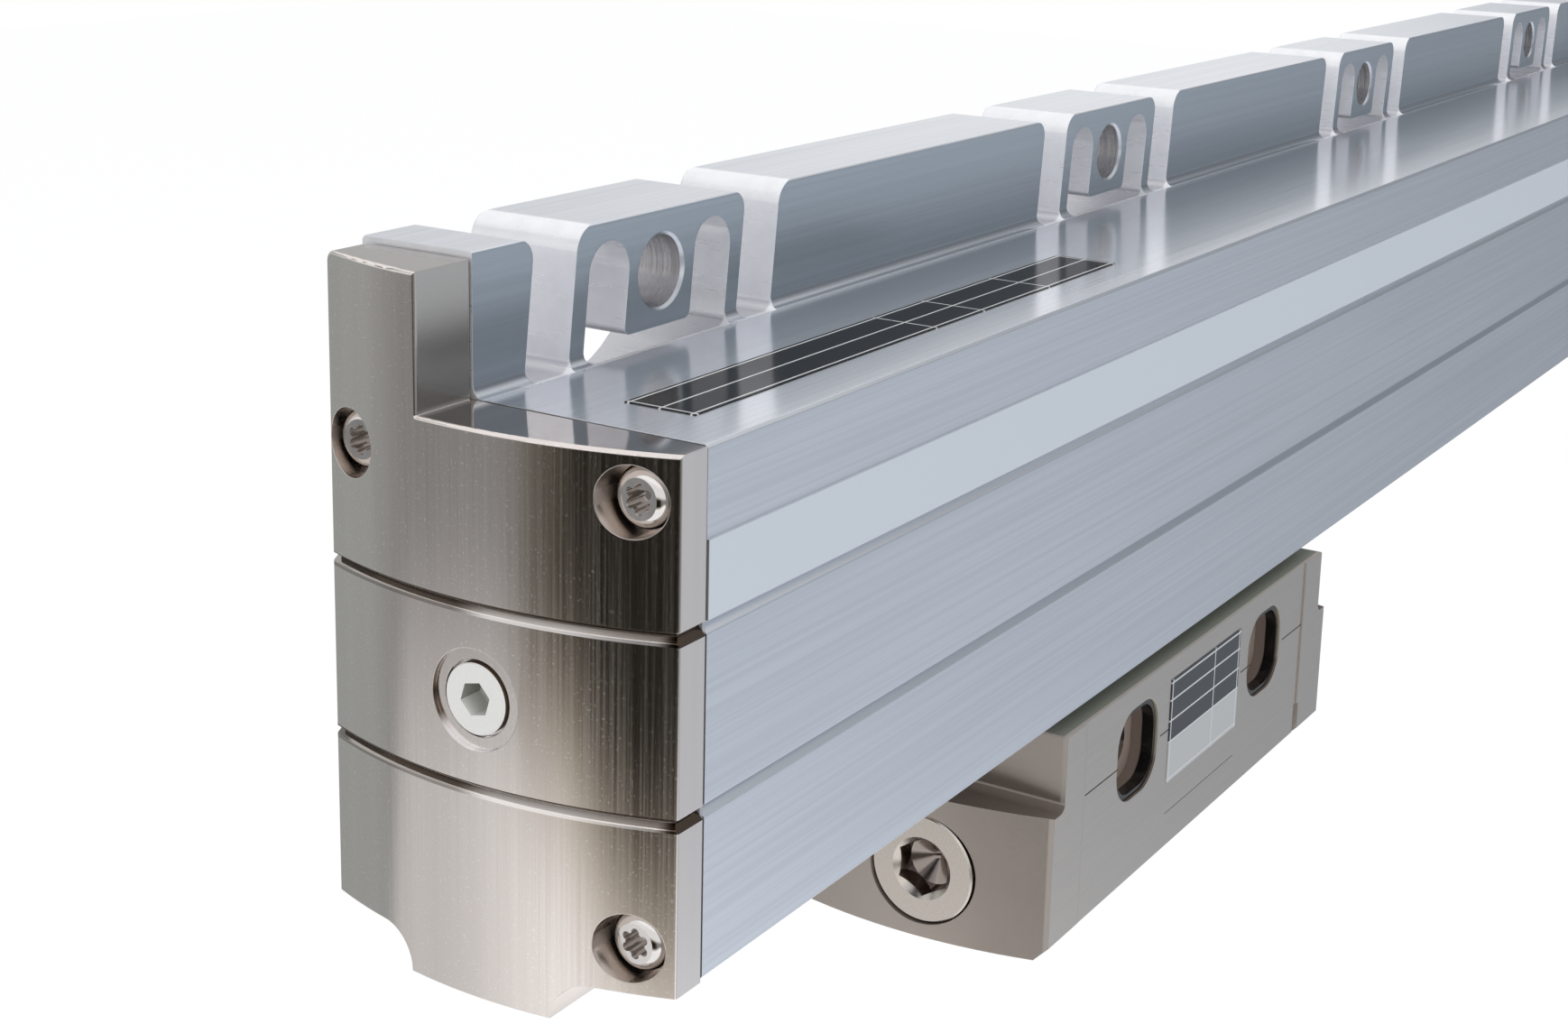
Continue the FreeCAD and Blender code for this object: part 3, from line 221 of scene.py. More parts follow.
def plain(name, colour, roughness, grain=FINE_GRAIN, **more):
    """Finish with one colour that varies a little, and with a grain in its roughness and bump."""
    colour_spread = 0.12
    roughness_spread = 0.15
    broad_share = 0.08
    s = Surface(name)
    fine = s.noise(grain, 3.0, 0.6)
    broad = s.noise(tuple(cells * broad_share for cells in grain), 2.0)
    darker, lighter = scaled(colour, 1 - colour_spread), scaled(colour, 1 + colour_spread)
    s.shade(
        Base_Color=s.mix(broad, darker, lighter),
        Roughness=s.vary(fine, roughness * (1 - roughness_spread),
                         roughness * (1 + roughness_spread)),
        Normal=s.bump(fine, 0.00001),
        **more,
    )
    return s.material


def from_flange_hole(s, x, z):
    """Distance from the axis of the nearest flange hole."""
    hole_x = s.product(s.maths("ROUND", s.maths("DIVIDE", x, HOLE_PITCH)), HOLE_PITCH)
    return s.distance(s.less(x, hole_x), z)


def from_cap_screw(s, y, z):
    """Distance from the axis of the nearest cap screw."""
    each = [s.distance(s.less(y, screw_y), s.less(z, screw_z)) for screw_y, screw_z in CAP_SCREWS]
    return s.fold("MINIMUM", each)


def from_air_plug(s, y, z):
    """Distance from the axis of the air plug."""
    return s.distance(s.less(y, AIR_PLUG_Y), s.less(z, AIR_PLUG_Z))


def housing_areas(s):
    """Areas of the housing with a look of their own or with painted shade, and two gradients, as
    factors of 0 to 1.
    """
    x, y, z = s.axes(s.place)
    nx, ny, nz = s.axes(s.normal)
    flange = s.product(s.ramp(z, FLANGE_FOOT_Z - 0.0001, FLANGE_FOOT_Z + 0.0001),
                       s.ramp(y, FLANGE_FOOT_Y - 0.00002, FLANGE_FOOT_Y + 0.00002))
    top = s.product(s.ramp(nz, 0.985, 0.998),
                    s.ramp(z, FLANGE_TOP_Z - 0.0008, FLANGE_TOP_Z - 0.0004))
    across = s.ramp(s.size(ny), 0.06, 0.02)
    cut = s.product(flange, across, s.rest(top))
    hole = s.ramp(from_flange_hole(s, x, z), HOLE_RADIUS + 0.0004, HOLE_RADIUS + 0.0002)
    return {
        "flange": flange,
        "cut": cut,
        "bore": s.product(cut, hole),
        # Painted shade on the rear walls of the slots
        "rear_cut_shade": s.product(
            cut, s.ramp(z, 0.0002, -0.0003), s.ramp(s.size(nx), 0.97, 0.9),
            s.ramp(y, FLANGE_FRONT_Y - 0.0002, FLANGE_FRONT_Y + 0.0002),
        ),
        # Painted shade: the fronts of the flange blocks darker than the front below
        "block_front_shade": s.product(flange, s.ramp(ny, -0.7, -0.9)),
        # Painted shade on the fillets at the foot of the blocks
        "foot": s.product(
            s.ramp(nz, 0.05, 0.3), s.ramp(nz, 0.998, 0.96), s.ramp(z, 0.0, -0.002),
            s.ramp(y, FLANGE_FRONT_Y - 0.0016, FLANGE_FRONT_Y - 0.0014),
        ),
        "ledge": s.product(s.ramp(nz, 0.7, 0.9), s.ramp(z, 0.0, -0.002)),
        # The satin band is made pale, partly as a painted reflection
        "band": s.product(
            s.ramp(z, BAND_BOTTOM_Z - 0.0001, BAND_BOTTOM_Z),
            s.ramp(z, BAND_TOP_Z + 0.0001, BAND_TOP_Z),
            s.ramp(y, FRONT_Y + 0.0003, FRONT_Y + 0.0002),
        ),
        # Painted shade in the groove along the front
        "groove": s.product(
            s.ramp(z, GROOVE_Z[1] - 0.00075, GROOVE_Z[1] - 0.00065),
            s.ramp(z, GROOVE_Z[1] + 0.00035, GROOVE_Z[1] + 0.0002),
            s.ramp(y, FRONT_Y + 0.0001, FRONT_Y + 0.00025),
        ),
        # Painted shade: the back face darker
        "back": s.ramp(ny, 0.7, 0.9),
        # Painted shade on the end faces, darkest above the band
        "end_face_shade": s.product(
            s.ramp(s.size(nx), 0.9, 0.99), s.ramp(z, LEDGE_Z, LEDGE_Z - 0.0002),
            s.ramp(s.size(x), HOUSING_END - 0.0002, HOUSING_END - 0.0001),
        ),
        "above_band": s.ramp(z, BAND_TOP_Z - 0.0002, BAND_TOP_Z + 0.0002),
        "to_front": s.ramp(y, FLANGE_FRONT_Y - 0.002, FRONT_Y + 0.002),
    }


def housing_colour(s, area, turned):
    """Anodised colour with faint brush streaks, the brighter colours of the cuts, and painted shade
    on the block fronts, groove, foot fillets, back, end faces and slot rears.
    """
    cloud = s.noise((18.0, 160.0, 160.0), 2.0)
    blotch = s.noise((520.0, 520.0, 520.0), 3.0)
    streak = s.vary(s.noise((9.0, 2400.0, 2400.0), 3.0, 0.6), 0.0, 1.0)
    anodised = s.mix(cloud, s.mix(streak, rgb(218, 222, 229), rgb(227, 231, 238)),
                     s.mix(streak, rgb(228, 231, 237), rgb(237, 240, 246)))
    # Painted shade on the fronts of the flange blocks
    block_front_shade = s.mix(streak, rgb(186, 195, 203), rgb(194, 203, 211))
    milled = s.mix(blotch, rgb(232, 233, 237), rgb(250, 250, 253))
    bored = s.mix(s.ramp(turned, 0.35, 0.65), rgb(196, 194, 194), rgb(244, 243, 244))
    # Painted shade: dark above the band and grey below it
    end_face_shade = s.mix(area["above_band"], rgb(132, 130, 128), rgb(58, 54, 48))
    return s.layers(
        anodised,
        (area["band"], rgb(204, 211, 219)),
        (area["back"], rgb(176, 181, 188)),
        (area["block_front_shade"], block_front_shade),
        (area["groove"], rgb(210, 216, 224)),
        (area["foot"], rgb(186, 190, 197)),
        (area["cut"], milled),
        (area["bore"], bored),
        (area["end_face_shade"], end_face_shade),
        (area["rear_cut_shade"], rgb(205, 205, 210)),
    )


def housing_metal():
    """Satin anodised aluminium, brushed lengthwise, and milled bright where it is cut."""
    s = Surface("anodised_housing")
    area = housing_areas(s)
    cut, bore = area["cut"], area["bore"]
    milled_only = s.less(cut, bore)
    brushed = s.noise((30.0, 5200.0, 5200.0), 2.0, 0.5)
    milled = s.noise((2600.0, 90.0, 2600.0), 3.0, 0.65)
    turned = s.noise((90.0, 7000.0, 90.0), 2.0)

    rough = s.ramp(brushed, 0.25, 0.75, 0.275, 0.315)
    rough = s.less(rough, s.product(area["ledge"], 0.13))
    rough = s.total(rough, s.product(area["band"], 0.2))
    rough = s.choose(cut, rough, s.vary(milled, 0.26, 0.42))
    rough = s.choose(bore, rough, s.vary(turned, 0.16, 0.3))
    brush_depth = s.less(0.12, s.product(area["flange"], 0.12))
    grain = s.total(
        s.product(brushed, brush_depth, s.rest(cut)),
        s.product(milled, milled_only),
        s.product(turned, bore),
    )
    pale = s.most(
        s.product(area["band"], 0.75),
        s.product(area["ledge"], s.choose(area["to_front"], 0.1, 0.4)),
        s.product(milled_only, 0.42),
        s.product(bore, 0.22),
    )
    s.shade(
        Base_Color=housing_colour(s, area, turned),
        Metallic=s.rest(pale),
        Roughness=rough,
        Normal=s.bump(grain, 0.000008, 0.6, s.rounded(0.00015)),
    )
    return s.material


def cap_grooves(s, y, z):
    """Painted dark shade on the upper edge of the cap's grooves, and a painted bright highlight on
    the lower lip toward the front.
    """
    dark = []
    bright = []
    for middle in GROOVE_Z:
        off = s.less(z, middle)
        inside = s.ramp(s.size(off), GROOVE_HALF + 0.00004, GROOVE_HALF)
        shade = s.most(
            s.ramp(off, 0.0, 0.0002),
            s.ramp(y, FRONT_Y + 0.016, FRONT_Y + 0.021, 0.0, 0.8),
            s.ramp(y, FRONT_Y + 0.002, FRONT_Y + 0.0005),
        )
        # Painted highlight on the lower lip, fainter near the front
        highlight_fade = s.ramp(y, FRONT_Y + 0.001, FRONT_Y + 0.011, 0.4, 1.0)
        dark.append(s.product(inside, shade))
        bright.append(s.product(inside, s.rest(shade), highlight_fade))
    return s.most(*dark), s.most(*bright)


def cap_metal():
    """Satin nickel with fine upright brush lines on the convex face and smoother sides, and painted
    shade and highlights.
    """
    s = Surface("satin_cap")
    _, y, z = s.axes(s.place)
    nx, ny, nz = s.axes(s.normal)
    endways = s.size(nx)
    face = s.ramp(endways, 0.75, 0.85)
    lines = s.noise((3600.0, 3600.0, 26.0), 3.0, 0.65)
    streak = s.noise((420.0, 420.0, 4.0), 2.0)
    speck = s.noise((4200.0, 4200.0, 4200.0), 2.0)
    dust = s.product(s.ramp(speck, 0.62, 0.7), face)
    side = s.product(s.ramp(endways, 0.5, 0.3), s.ramp(ny, -0.97, -0.99))
    # Painted shade: the tab's top darker, and its front side darker toward the bottom
    tab_top_shade = s.product(s.ramp(nz, 0.9, 0.98), s.ramp(z, 0.0, 0.001))
    tab_side = s.product(s.ramp(ny, -0.9, -0.97), s.ramp(z, LEDGE_Z, LEDGE_Z + 0.0005))
    tab_shade = s.mix(s.ramp(z, LEDGE_Z, 0.003), rgb(168, 163, 157), rgb(206, 201, 195))
    groove, lip_highlight = cap_grooves(s, y, z)
    walls = s.rest(face)
    # Painted shade: the counterbore walls darker and browner
    counterbore_shade = s.product(walls, s.ramp(from_cap_screw(s, y, z), COUNTERBORE_RADIUS + 0.0001,
                                          COUNTERBORE_RADIUS + 0.00002))
    recess = s.product(walls, s.ramp(from_air_plug(s, y, z), 0.0065, 0.006))
    # Painted shade on the upper wall of the air plug's recess, and a painted highlight at its
    # bottom
    recess_shade_and_highlight = s.mix(s.ramp(z, AIR_PLUG_Z - 0.0036, AIR_PLUG_Z - 0.002),
                         rgb(242, 242, 246), rgb(104, 90, 80))
    colour = s.layers(
        s.mix(streak, rgb(224, 216, 211), rgb(236, 229, 225)),
        (dust, rgb(244, 239, 236)),
        (tab_top_shade, rgb(176, 171, 167)),
        (tab_side, tab_shade),
        # Painted shade in the grooves and painted highlight on their lower lips
        (groove, rgb(96, 84, 74)),
        (lip_highlight, rgb(250, 244, 240)),
        (counterbore_shade, rgb(208, 199, 192)),
        (recess, recess_shade_and_highlight),
    )
    rough = s.total(
        s.choose(face, 0.07, s.vary(lines, 0.1, 0.17)),
        s.product(dust, 0.04),
        s.product(side, 0.16),
        s.product(counterbore_shade, 0.13),
    )
    line_depth = s.ramp(y, FRONT_Y + 0.006, FRONT_Y + 0.016, 0.3, 1.0)
    s.shade(
        Base_Color=colour,
        Metallic=s.rest(s.product(lip_highlight, 0.6)),
        Roughness=rough,
        Normal=s.bump(s.product(lines, face, line_depth), 0.000004, 0.6, s.rounded(0.0001)),
    )
    return s.material


def scanner_metal():
    """Satin nickel with a fine blasted grain, lighter on its ground front face, and with painted
    light and shade on some areas.
    """
    s = Surface("satin_scanner")
    x, y, z = s.axes(s.place)
    _, ny, nz = s.axes(s.normal)
    front = s.ramp(ny, -0.8, -0.95)
    grain = s.noise((5200.0, 5200.0, 5200.0), 3.0, 0.6)
    ground = s.noise(BRUSHED_GRAIN, 3.0, 0.6)
    cloud = s.noise((90.0, 90.0, 90.0), 2.0)
    blasted = s.mix(cloud, rgb(176, 167, 161), rgb(188, 179, 172))
    bare = s.mix(front, blasted, s.mix(ground, rgb(198, 191, 184), rgb(210, 203, 196)))
    # Painted light on the dull floors of the two pockets; painted shade on the dull top face and
    # the shelf at the step below it
    floor = s.product(front, s.ramp(y, POCKET_FLOOR_Y - 0.0003, POCKET_FLOOR_Y))
    # Painted shade on the top face, under the housing
    top = s.product(s.ramp(nz, 0.9, 0.98),
                    s.ramp(z, SCANNER_TOP_Z - 0.0004, SCANNER_TOP_Z - 0.0002))
    # Painted shade on the shelf
    shelf_shade = s.product(s.ramp(nz, 0.15, 0.4),
                      s.ramp(z, SCANNER_TOP_Z - 0.002, SCANNER_TOP_Z - 0.003))
    # Painted highlight on the front edges, lighter round the two pockets
    edge = s.product(s.ramp(y, SCANNER_FRONT_Y + 0.0007, SCANNER_FRONT_Y + 0.0005),
                     s.ramp(s.size(ny), 0.8, 0.6))
    beside = [s.ramp(s.size(s.less(x, middle)), 0.008, 0.0075) for middle in SCANNER_POCKETS]
    level = s.ramp(s.size(s.less(z, SCANNER_POCKET_Z)), 0.0068, 0.0062)
    near_pocket = s.product(s.most(*beside), level)
    colour = s.layers(
        bare,
        (floor, rgb(150, 134, 124)),
        (top, rgb(134, 137, 126)),
        (edge, s.mix(near_pocket, rgb(182, 174, 168), rgb(206, 198, 182))),
        (shelf_shade, rgb(118, 106, 97)),
    )
    # Areas of painted light and shade, made less metallic and rougher
    painted_light_and_shade = s.most(floor, top, shelf_shade, s.product(edge, 0.4))
    s.shade(
        Base_Color=colour,
        Metallic=s.rest(s.product(painted_light_and_shade, 0.8)),
        Roughness=s.total(s.vary(grain, 0.3, 0.4), s.product(painted_light_and_shade, 0.3)),
        Normal=s.bump(grain, 0.000006, 0.6, s.rounded(0.00012)),
    )
    return s.material


def plug_plastic():
    """White moulded plastic, with painted shade in its socket and brown painted shade round its
    edge.
    """
    s = Surface("white_plug")
    nx, _, nz = s.axes(s.normal)
    _, y, z = s.axes(s.place)
    fine = s.noise(FINE_GRAIN, 2.0)
    radius = from_air_plug(s, y, z)
    walls = s.ramp(s.size(nx), 0.5, 0.3)
    # Painted shade: brown on the side of the head
    side_shade = s.product(walls, s.ramp(radius, 0.0028, 0.0030))
    # Painted shade in the socket, darker on walls that face down
    socket = s.product(walls, s.ramp(radius, 0.0022, 0.0020))
    shaded = s.mix(s.ramp(nz, 0.6, -0.6), rgb(226, 226, 220), rgb(120, 121, 112))
    s.shade(
        Base_Color=s.layers(
            s.mix(fine, rgb(228, 226, 222), rgb(234, 233, 229)),
            (socket, shaded),
            (side_shade, rgb(92, 76, 60)),
        ),
        Roughness=s.vary(fine, 0.38, 0.46),
        Normal=s.bump(fine, 0.000004, 0.5),
    )
    return s.material


def foil_print(name, node, ground, line, columns, rows, pale_share=0.0):
    """Bare foil with a border and empty cells, and a paler strip at its lower edge."""
    line_half = 0.00011
    border_inset = 0.0004
    s = Surface(name)
    low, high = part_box(node)
    # The rows follow each other along y on a foil that lies flat, and along z on an upright one
    row_axis = 1 if high.y - low.y > 0.001 else 2
    place = s.axes(s.place)
    marks = []
    for axis, shares in ((0, columns), (row_axis, rows)):
        start, end = low[axis], high[axis]
        inner = [start + (end - start) * share for share in shares]
        for middle in (start + border_inset, *inner, end - border_inset):
            away = s.size(s.less(place[axis], middle))
            marks.append(s.maths("LESS_THAN", away, line_half))
    fine = s.noise((3000.0, 3000.0, 3000.0), 2.0)
    colour = s.mix(fine, ground, scaled(ground, 1.25, 0.004))
    if pale_share:
        pale_end = low[row_axis] + (high[row_axis] - low[row_axis]) * pale_share
        pale = s.maths("LESS_THAN", place[row_axis], pale_end)
        colour = s.mix(pale, colour, rgb(176, 178, 180))
    s.shade(
        Base_Color=s.mix(s.most(*marks), colour, line),
        Metallic=0.0,
        Roughness=s.vary(fine, 0.1, 0.16),
        Specular_IOR_Level=0.25,
        Normal=s.bump(fine, 0.000002, 0.3),
    )
    return s.material


def screw_steel():
    """Bright rolled steel, a little mottled, with painted shade down in the sockets."""
    s = Surface("bright_screw")
    x, y, z = s.axes(s.place)
    mottled = s.noise((900.0, 900.0, 900.0), 2.0)
    # Painted shade down in the sockets
    deep = s.product(
        s.ramp(s.size(x), SCREW_FACE_X - 0.00005, SCREW_FACE_X - 0.0003),
        s.ramp(from_cap_screw(s, y, z), SCREW_SOCKET_RADIUS + 0.0001, SCREW_SOCKET_RADIUS),
    )
    bright = s.mix(mottled, rgb(220, 216, 214), rgb(238, 235, 233))
    s.shade(
        Base_Color=s.mix(deep, bright, rgb(184, 178, 174)),
        Metallic=1.0,
        Roughness=s.vary(mottled, 0.07, 0.13),
        Normal=s.bump(mottled, 0.000004, 0.4),
    )
    return s.material


def port_plug():
    """Turned nickel plug, with painted shade that makes its socket darker than its flat head."""
    s = Surface("plug_nickel")
    x = s.axes(s.place)[0]
    fine = s.noise(FINE_GRAIN, 3.0, 0.6)
    # Painted shade in the socket
    deep = s.ramp(x, PLUG_HEAD_X + 0.0004, PLUG_HEAD_X + 0.0009)
    head = s.mix(fine, rgb(212, 204, 196), rgb(216, 208, 200))
    s.shade(
        Base_Color=s.mix(deep, head, rgb(158, 148, 142)),
        Metallic=1.0,
        Roughness=s.less(s.vary(fine, 0.26, 0.3), s.product(deep, 0.12)),
        Normal=s.bump(fine, 0.0000005, 0.6),
    )
    return s.material


def liner_plastic():
    """Glossy black insert, its deep end the colour of the bare pocket."""
    s = Surface("liner_plastic")
    y = s.axes(s.place)[1]
    fine = s.noise(FINE_GRAIN, 2.0)
    deep = s.ramp(y, LINER_END_Y - 0.0001, LINER_END_Y + 0.0001)
    black = s.mix(fine, rgb(14, 13, 13), rgb(24, 23, 23))
    s.shade(
        Base_Color=s.mix(deep, black, rgb(124, 110, 102)),
        Roughness=s.vary(fine, 0.14, 0.2),
        Normal=s.bump(fine, 0.000002, 0.4),
    )
    return s.material


def gasket_sheet():
    """Thin sealing sheet, with painted shade where the upper band stands back from it."""
    s = Surface("gasket_sheet")
    z = s.axes(s.place)[2]
    fine = s.noise(FINE_GRAIN, 2.0)
    # Painted shade where the upper band stands back
    upper_shade = s.ramp(z, BAND_TOP_Z - 0.0002, BAND_TOP_Z + 0.0002)
    pale = s.mix(fine, rgb(150, 152, 158), rgb(166, 168, 174))
    s.shade(
        Base_Color=s.mix(upper_shade, pale, rgb(84, 80, 70)),
        Roughness=s.vary(fine, 0.5, 0.6),
        Normal=s.bump(fine, 0.000005, 0.6),
    )
    return s.material


finishes = {
    "steel": plain("ground_steel", rgb(196, 196, 198), 0.25, BRUSHED_GRAIN, Metallic=1.0),
    "glass": plain("scale_glass", rgb(226, 240, 238), 0.05, Transmission_Weight=0.85, IOR=1.52),
    "lens": plain("lens_glass", rgb(238, 243, 245), 0.03, Transmission_Weight=0.95, IOR=1.52),
    "bond": plain("bond", rgb(206, 202, 186), 0.6),
    "seal": plain("seal_rubber", rgb(38, 38, 40), 0.62),
    "gasket": gasket_sheet(),
    "lips": plain("lip_rubber", rgb(44, 44, 46), 0.4, BRUSHED_GRAIN),
    "white": plug_plastic(),
    "black": plain("black_plastic", rgb(24, 23, 23), 0.22),
    "board": plain("solder_mask", rgb(32, 96, 62), 0.35),
    "chip": plain("chip_body", rgb(38, 38, 40), 0.5),
    "lead": plain("lead_film", rgb(176, 112, 44), 0.3, BRUSHED_GRAIN),
    "contact": plain("gold_contact", rgb(226, 190, 110), 0.2, Metallic=1.0),
    "carriage": plain("carriage_aluminium", rgb(206, 208, 212), 0.34, BRUSHED_GRAIN,
                      Metallic=1.0),
    "plug": port_plug(),
    "liner": liner_plastic(),
    "screw": screw_steel(),
    "housing": housing_metal(),
    "cap": cap_metal(),
    "scanner": scanner_metal(),
    "ledge_foil": foil_print("ledge_print", "ledge_foil", rgb(10, 10, 11), rgb(214, 214, 214),
                             columns=(0.5, 0.62, 0.8), rows=(0.5,)),
    "scanner_foil": foil_print("scanner_print", "scanner_foil", rgb(46, 50, 55),
                               rgb(198, 200, 202), columns=(0.62,), rows=(0.4, 0.6, 0.8),
                               pale_share=0.4),
}
# The finish of each node; those not named here are of steel
by_node = {
    "scale_housing": "housing", "glass_scale": "glass", "scale_bond": "bond",
    "end_cap_left": "cap", "end_cap_right": "cap", "end_gasket_left": "gasket",
    "end_gasket_right": "gasket", "air_plug_left": "white", "air_plug_right": "white",
    "cap_screws_left": "screw", "cap_screws_right": "screw", "sealing_lip_front": "lips",
    "sealing_lip_back": "lips", "ledge_foil": "ledge_foil", "carriage_frame": "carriage",
    "condenser_lens": "lens", "scanning_reticle": "lens", "light_sensors": "chip",
    "sensor_board": "board", "scanner_body": "scanner", "rear_cover": "scanner",
    "cover_seal": "seal", "blanking_plug": "plug", "plug_seal": "seal",
    "signal_socket": "black", "socket_contacts": "contact", "circuit_board": "board",
    "board_components": "chip", "pocket_liners": "liner", "scanner_foil": "scanner_foil",
    "ribbon_lead": "lead",
}
for name, piece in nodes.items():
    material = finishes[by_node.get(name, "steel")]
    if not piece.material_slots:
        piece.data.materials.append(material)
    for slot in piece.material_slots:
        slot.material = material

# Scribed lines on the front of the scanning unit: from x to x, at a height z, and half the width
SCRIBED_LINES = (
    (-0.4531, -0.4444, -0.0644, 0.0001), (-0.4324, -0.4296, -0.0644, 0.0001),
    (-0.4069, -0.4036, -0.0644, 0.0001), (-0.3922, -0.3842, -0.0644, 0.0001),
    (-0.4296, -0.4078, -0.0755, 0.00005),
)
LINE_PROUD = 0.00001
LINE_SUNK = 0.00003
LINE_BEVEL = 0.00001


def plate(name, low, high, material, body):
    """Thin bevelled plate between two corners."""
    mesh = bmesh.new()
    bmesh.ops.create_cube(mesh, size=1.0)
    size = Vector(high) - Vector(low)
    middle = (Vector(high) + Vector(low)) / 2
    bmesh.ops.transform(mesh, matrix=Matrix.Translation(middle) @ Matrix.Diagonal((*size, 1.0)),
                        verts=mesh.verts)
    bmesh.ops.bevel(mesh, geom=mesh.edges[:], offset=LINE_BEVEL, segments=2, affect="EDGES")
    data = bpy.data.meshes.new(name)
    mesh.to_mesh(data)
    mesh.free()
    data.materials.append(material)
    piece = add_object(name, data)
    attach(piece, body)


scribe = plain("scribe_line", rgb(66, 60, 56), 0.5, Metallic=0.4)
for number, (x0, x1, z, half) in enumerate(SCRIBED_LINES, start=1):
    plate(f"scribe_{number}", (x0, RELIEF_Y - LINE_PROUD, z - half),
          (x1, RELIEF_Y + LINE_SUNK, z + half), scribe, "scanner")

# Camera at the photograph's viewing angle
CAMERA_PLACE = Vector((-0.677384, -0.139283, 0.044507))
AZIMUTH = math.radians(59.281)
DOWN = math.radians(12.857)
ROLL = math.radians(1.649)
FOCAL_LENGTH_MM = 53.645
SENSOR_WIDTH_MM = 36.0
SHIFT = (-0.0456, -0.1169)
forward = Vector((math.sin(AZIMUTH) * math.cos(DOWN), math.cos(AZIMUTH) * math.cos(DOWN),
                  -math.sin(DOWN)))
level = forward.cross(Vector((0, 0, 1))).normalized()
upward = level.cross(forward)
right = level * math.cos(ROLL) + upward * math.sin(ROLL)
turn = Matrix((right, right.cross(forward), -forward)).transposed()
camera_data = bpy.data.cameras.new("camera")
camera = add_object("camera", camera_data)
camera.matrix_world = Matrix.Translation(CAMERA_PLACE) @ turn.to_4x4()
camera_data.sensor_fit = "HORIZONTAL"
camera_data.sensor_width = SENSOR_WIDTH_MM
camera_data.lens = FOCAL_LENGTH_MM
camera_data.shift_x, camera_data.shift_y = SHIFT
camera_data.clip_start = 0.01
camera_data.clip_end = 30.0
bpy.context.scene.camera = camera

# World: white to the camera, in reflections and through glass, and even light on the object
world = bpy.data.worlds.new("studio")
bpy.context.scene.world = world
world.use_nodes = True
studio = Nodes(world.node_tree)
rays = studio.node("ShaderNodeLightPath").outputs
seen = studio.most(rays["Is Camera Ray"], rays["Is Glossy Ray"], rays["Is Transmission Ray"])
light = studio.node("ShaderNodeBackground", {"Color": (0.97, 0.985, 1.0, 1.0), "Strength": 0.8})
white = studio.node("ShaderNodeBackground", {"Color": WHITE, "Strength": 1.0})
around = studio.node("ShaderNodeMixShader", {0: seen, 1: light.outputs[0], 2: white.outputs[0]})
studio.node("ShaderNodeOutputWorld", {0: around.outputs[0]})


def wall_material():
    """Studio wall that the metal reflects: its brightness depends on the direction alone."""
    s = Surface("studio_wall")
    heading = s.vector("NORMALIZE", s.place)
    height = s.axes(heading)[2]
    level = s.vector("NORMALIZE", s.vector("MULTIPLY", heading, (1.0, 1.0, 0.0)))

    def toward(degrees, low, high):
        """1 near a heading, measured from +X towards +Y, and 0 where its cosine falls below low."""
        angle = math.radians(degrees)
        near = s.vector("DOT_PRODUCT", level, (math.cos(angle), math.sin(angle), 0.0))
        return s.ramp(near, low, high)

    front = toward(-50.0, 0.3, 0.6)
    left = toward(184.0, 0.82, 0.978)
    far_left = toward(195.0, 0.848, 0.996)
    turned_away = toward(100.0, 0.906, 0.978)
    behind = toward(35.0, 0.64, 0.82)

    # Low down the wall is bright, up to an edge that rises and falls with the heading
    edge = s.total(
        height,
        s.product(far_left, 0.07),
        s.product(left, 0.02),
        s.product(front, 0.14),
        s.product(turned_away, 0.2),
        s.product(toward(132.0, 0.906, 0.99), -0.03),
    )
    table = s.ramp(edge, -0.31, -0.44)
    table_level = s.choose(toward(115.0, 0.643, 0.99), 1.08, 0.64)

    # From there up to the horizon it is darkest beyond the left end and palest behind the object
    grey = s.choose(left, s.choose(turned_away, 0.25, 0.38), 0.01)
    grey = s.choose(behind, grey, 0.95)
    front_grey = s.ramp(toward(-60.0, 0.643, 0.9), 0.0, 1.0, 0.29, 0.62)
    grey = s.choose(front, grey, front_grey)

    # Above the horizon it is pale behind and darker in front, with a dark area high at one side
    above = s.choose(front, s.ramp(height, -0.2, -0.03), s.ramp(height, -0.05, 0.07))
    front_sky = s.choose(s.ramp(height, 0.28, 0.5), 0.25, 0.45)
    back_sky = s.choose(toward(75.0, 0.6, 0.95), 0.88, 0.6)
    high = s.ramp(height, 0.3, 0.5)
    back_sky = s.choose(high, back_sky, 1.1)
    back_sky = s.choose(s.product(toward(112.0, 0.848, 0.94), high), back_sky, 0.12)
    sky = s.choose(front, back_sky, front_sky)
    strength = s.choose(above, s.choose(table, grey, table_level), sky)

    middle = s.product(s.rest(above), s.rest(table))
    colour = s.layers(
        WHITE,
        (s.product(front, s.ramp(height, 0.6, 0.3)), (0.9, 0.96, 1.04, 1.0)),
        (s.product(left, middle), (1.0, 0.84, 0.58, 1.0)),
        (turned_away, (0.94, 1.0, 0.99, 1.0)),
    )
    glow = s.node("ShaderNodeEmission", {"Color": colour, "Strength": strength})
    s.fill(s.output, {0: glow.outputs[0]})
    return s.material


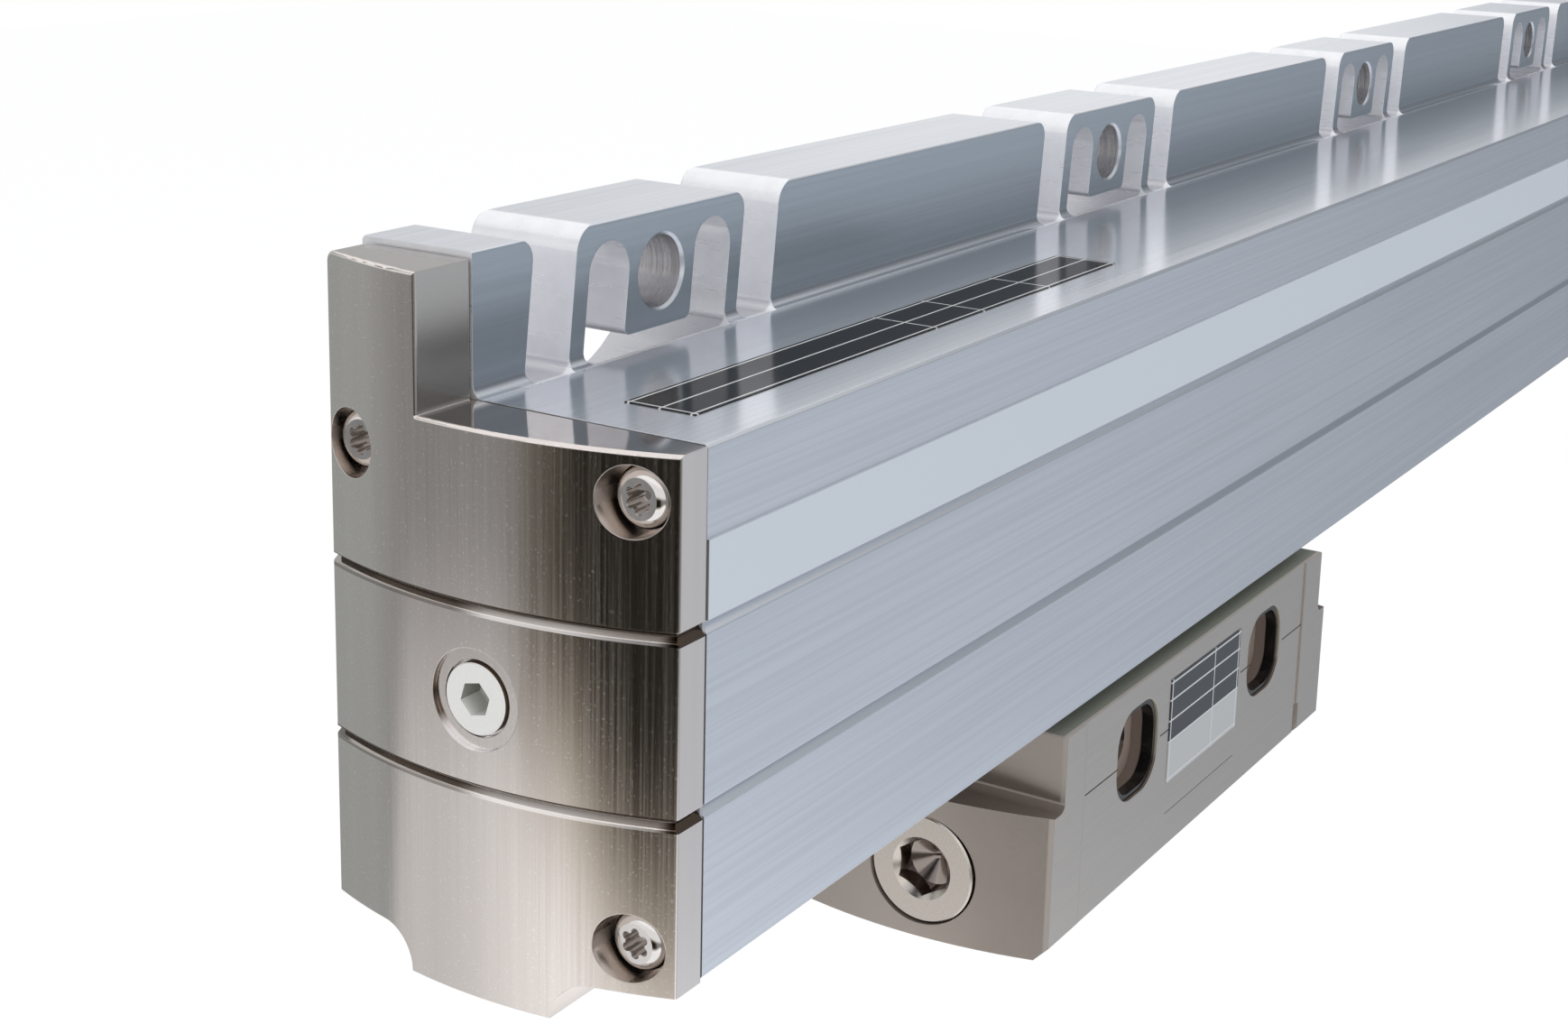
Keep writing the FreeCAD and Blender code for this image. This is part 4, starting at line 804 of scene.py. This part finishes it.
# Studio wall far round the object, seen only in reflections
WALL_RADIUS = 12.0
WALL_HALF_HEIGHT = 8.0
wall_mesh = bmesh.new()
bmesh.ops.create_cone(wall_mesh, cap_ends=False, segments=96, radius1=WALL_RADIUS,
                      radius2=WALL_RADIUS, depth=2 * WALL_HALF_HEIGHT)
wall_data = bpy.data.meshes.new("wall")
wall_mesh.to_mesh(wall_data)
wall_mesh.free()
wall = add_object("wall", wall_data)
wall_data.materials.append(wall_material())
for unseen in ("visible_camera", "visible_diffuse", "visible_transmission",
               "visible_volume_scatter", "visible_shadow"):
    setattr(wall, unseen, False)


def floor_material():
    """Pale floor, nearly white to the camera, that keeps the object's shadow."""
    s = Surface("floor")
    grain = s.noise((40.0, 40.0, 40.0), 2.0)
    s.shade(
        Base_Color=s.mix(grain, rgb(246, 246, 246), rgb(252, 252, 252)),
        Roughness=0.8,
    )
    to_camera = s.node("ShaderNodeLightPath").outputs["Is Camera Ray"]
    glow = s.node("ShaderNodeEmission", {"Color": WHITE, "Strength": 1.03})
    blend = s.node("ShaderNodeMixShader", {
        0: s.product(to_camera, 0.85), 1: s.shader.outputs[0], 2: glow.outputs[0]})
    s.fill(s.output, {0: blend.outputs[0]})
    return s.material


# Floor well below the object
FLOOR_Z = -0.30
FLOOR_REACH = 2.5
floor_data = bpy.data.meshes.new("floor")
floor_corners = [(side_x * FLOOR_REACH, side_y * FLOOR_REACH, FLOOR_Z)
                 for side_x, side_y in ((-1, -1), (1, -1), (1, 1), (-1, 1))]
floor_data.from_pydata(floor_corners, [], [(0, 1, 2, 3)])
floor = add_object("floor", floor_data)
floor_data.materials.append(floor_material())
floor.visible_glossy = False


def softbox(name, place, target, width, tall, power):
    """White lamp panel that faces a target and isn't seen in reflections."""
    data = bpy.data.lights.new(name, "AREA")
    data.shape = "RECTANGLE"
    data.size = width
    data.size_y = tall
    data.energy = power
    lamp = add_object(name, data)
    lamp.location = place
    aim = Vector(target) - Vector(place)
    lamp.rotation_euler = aim.to_track_quat("-Z", "Y").to_euler()
    lamp.visible_glossy = False


softbox("overhead", place=(-0.3, 0.3, 1.2), target=(-0.3, 0.0, 0.0), width=1.6, tall=0.8,
        power=4.0)
softbox("front", place=(-0.9, -1.1, 0.5), target=(-0.3, 0.0, -0.03), width=0.8, tall=0.8,
        power=3.0)

bpy.context.scene.view_settings.view_transform = "Standard"
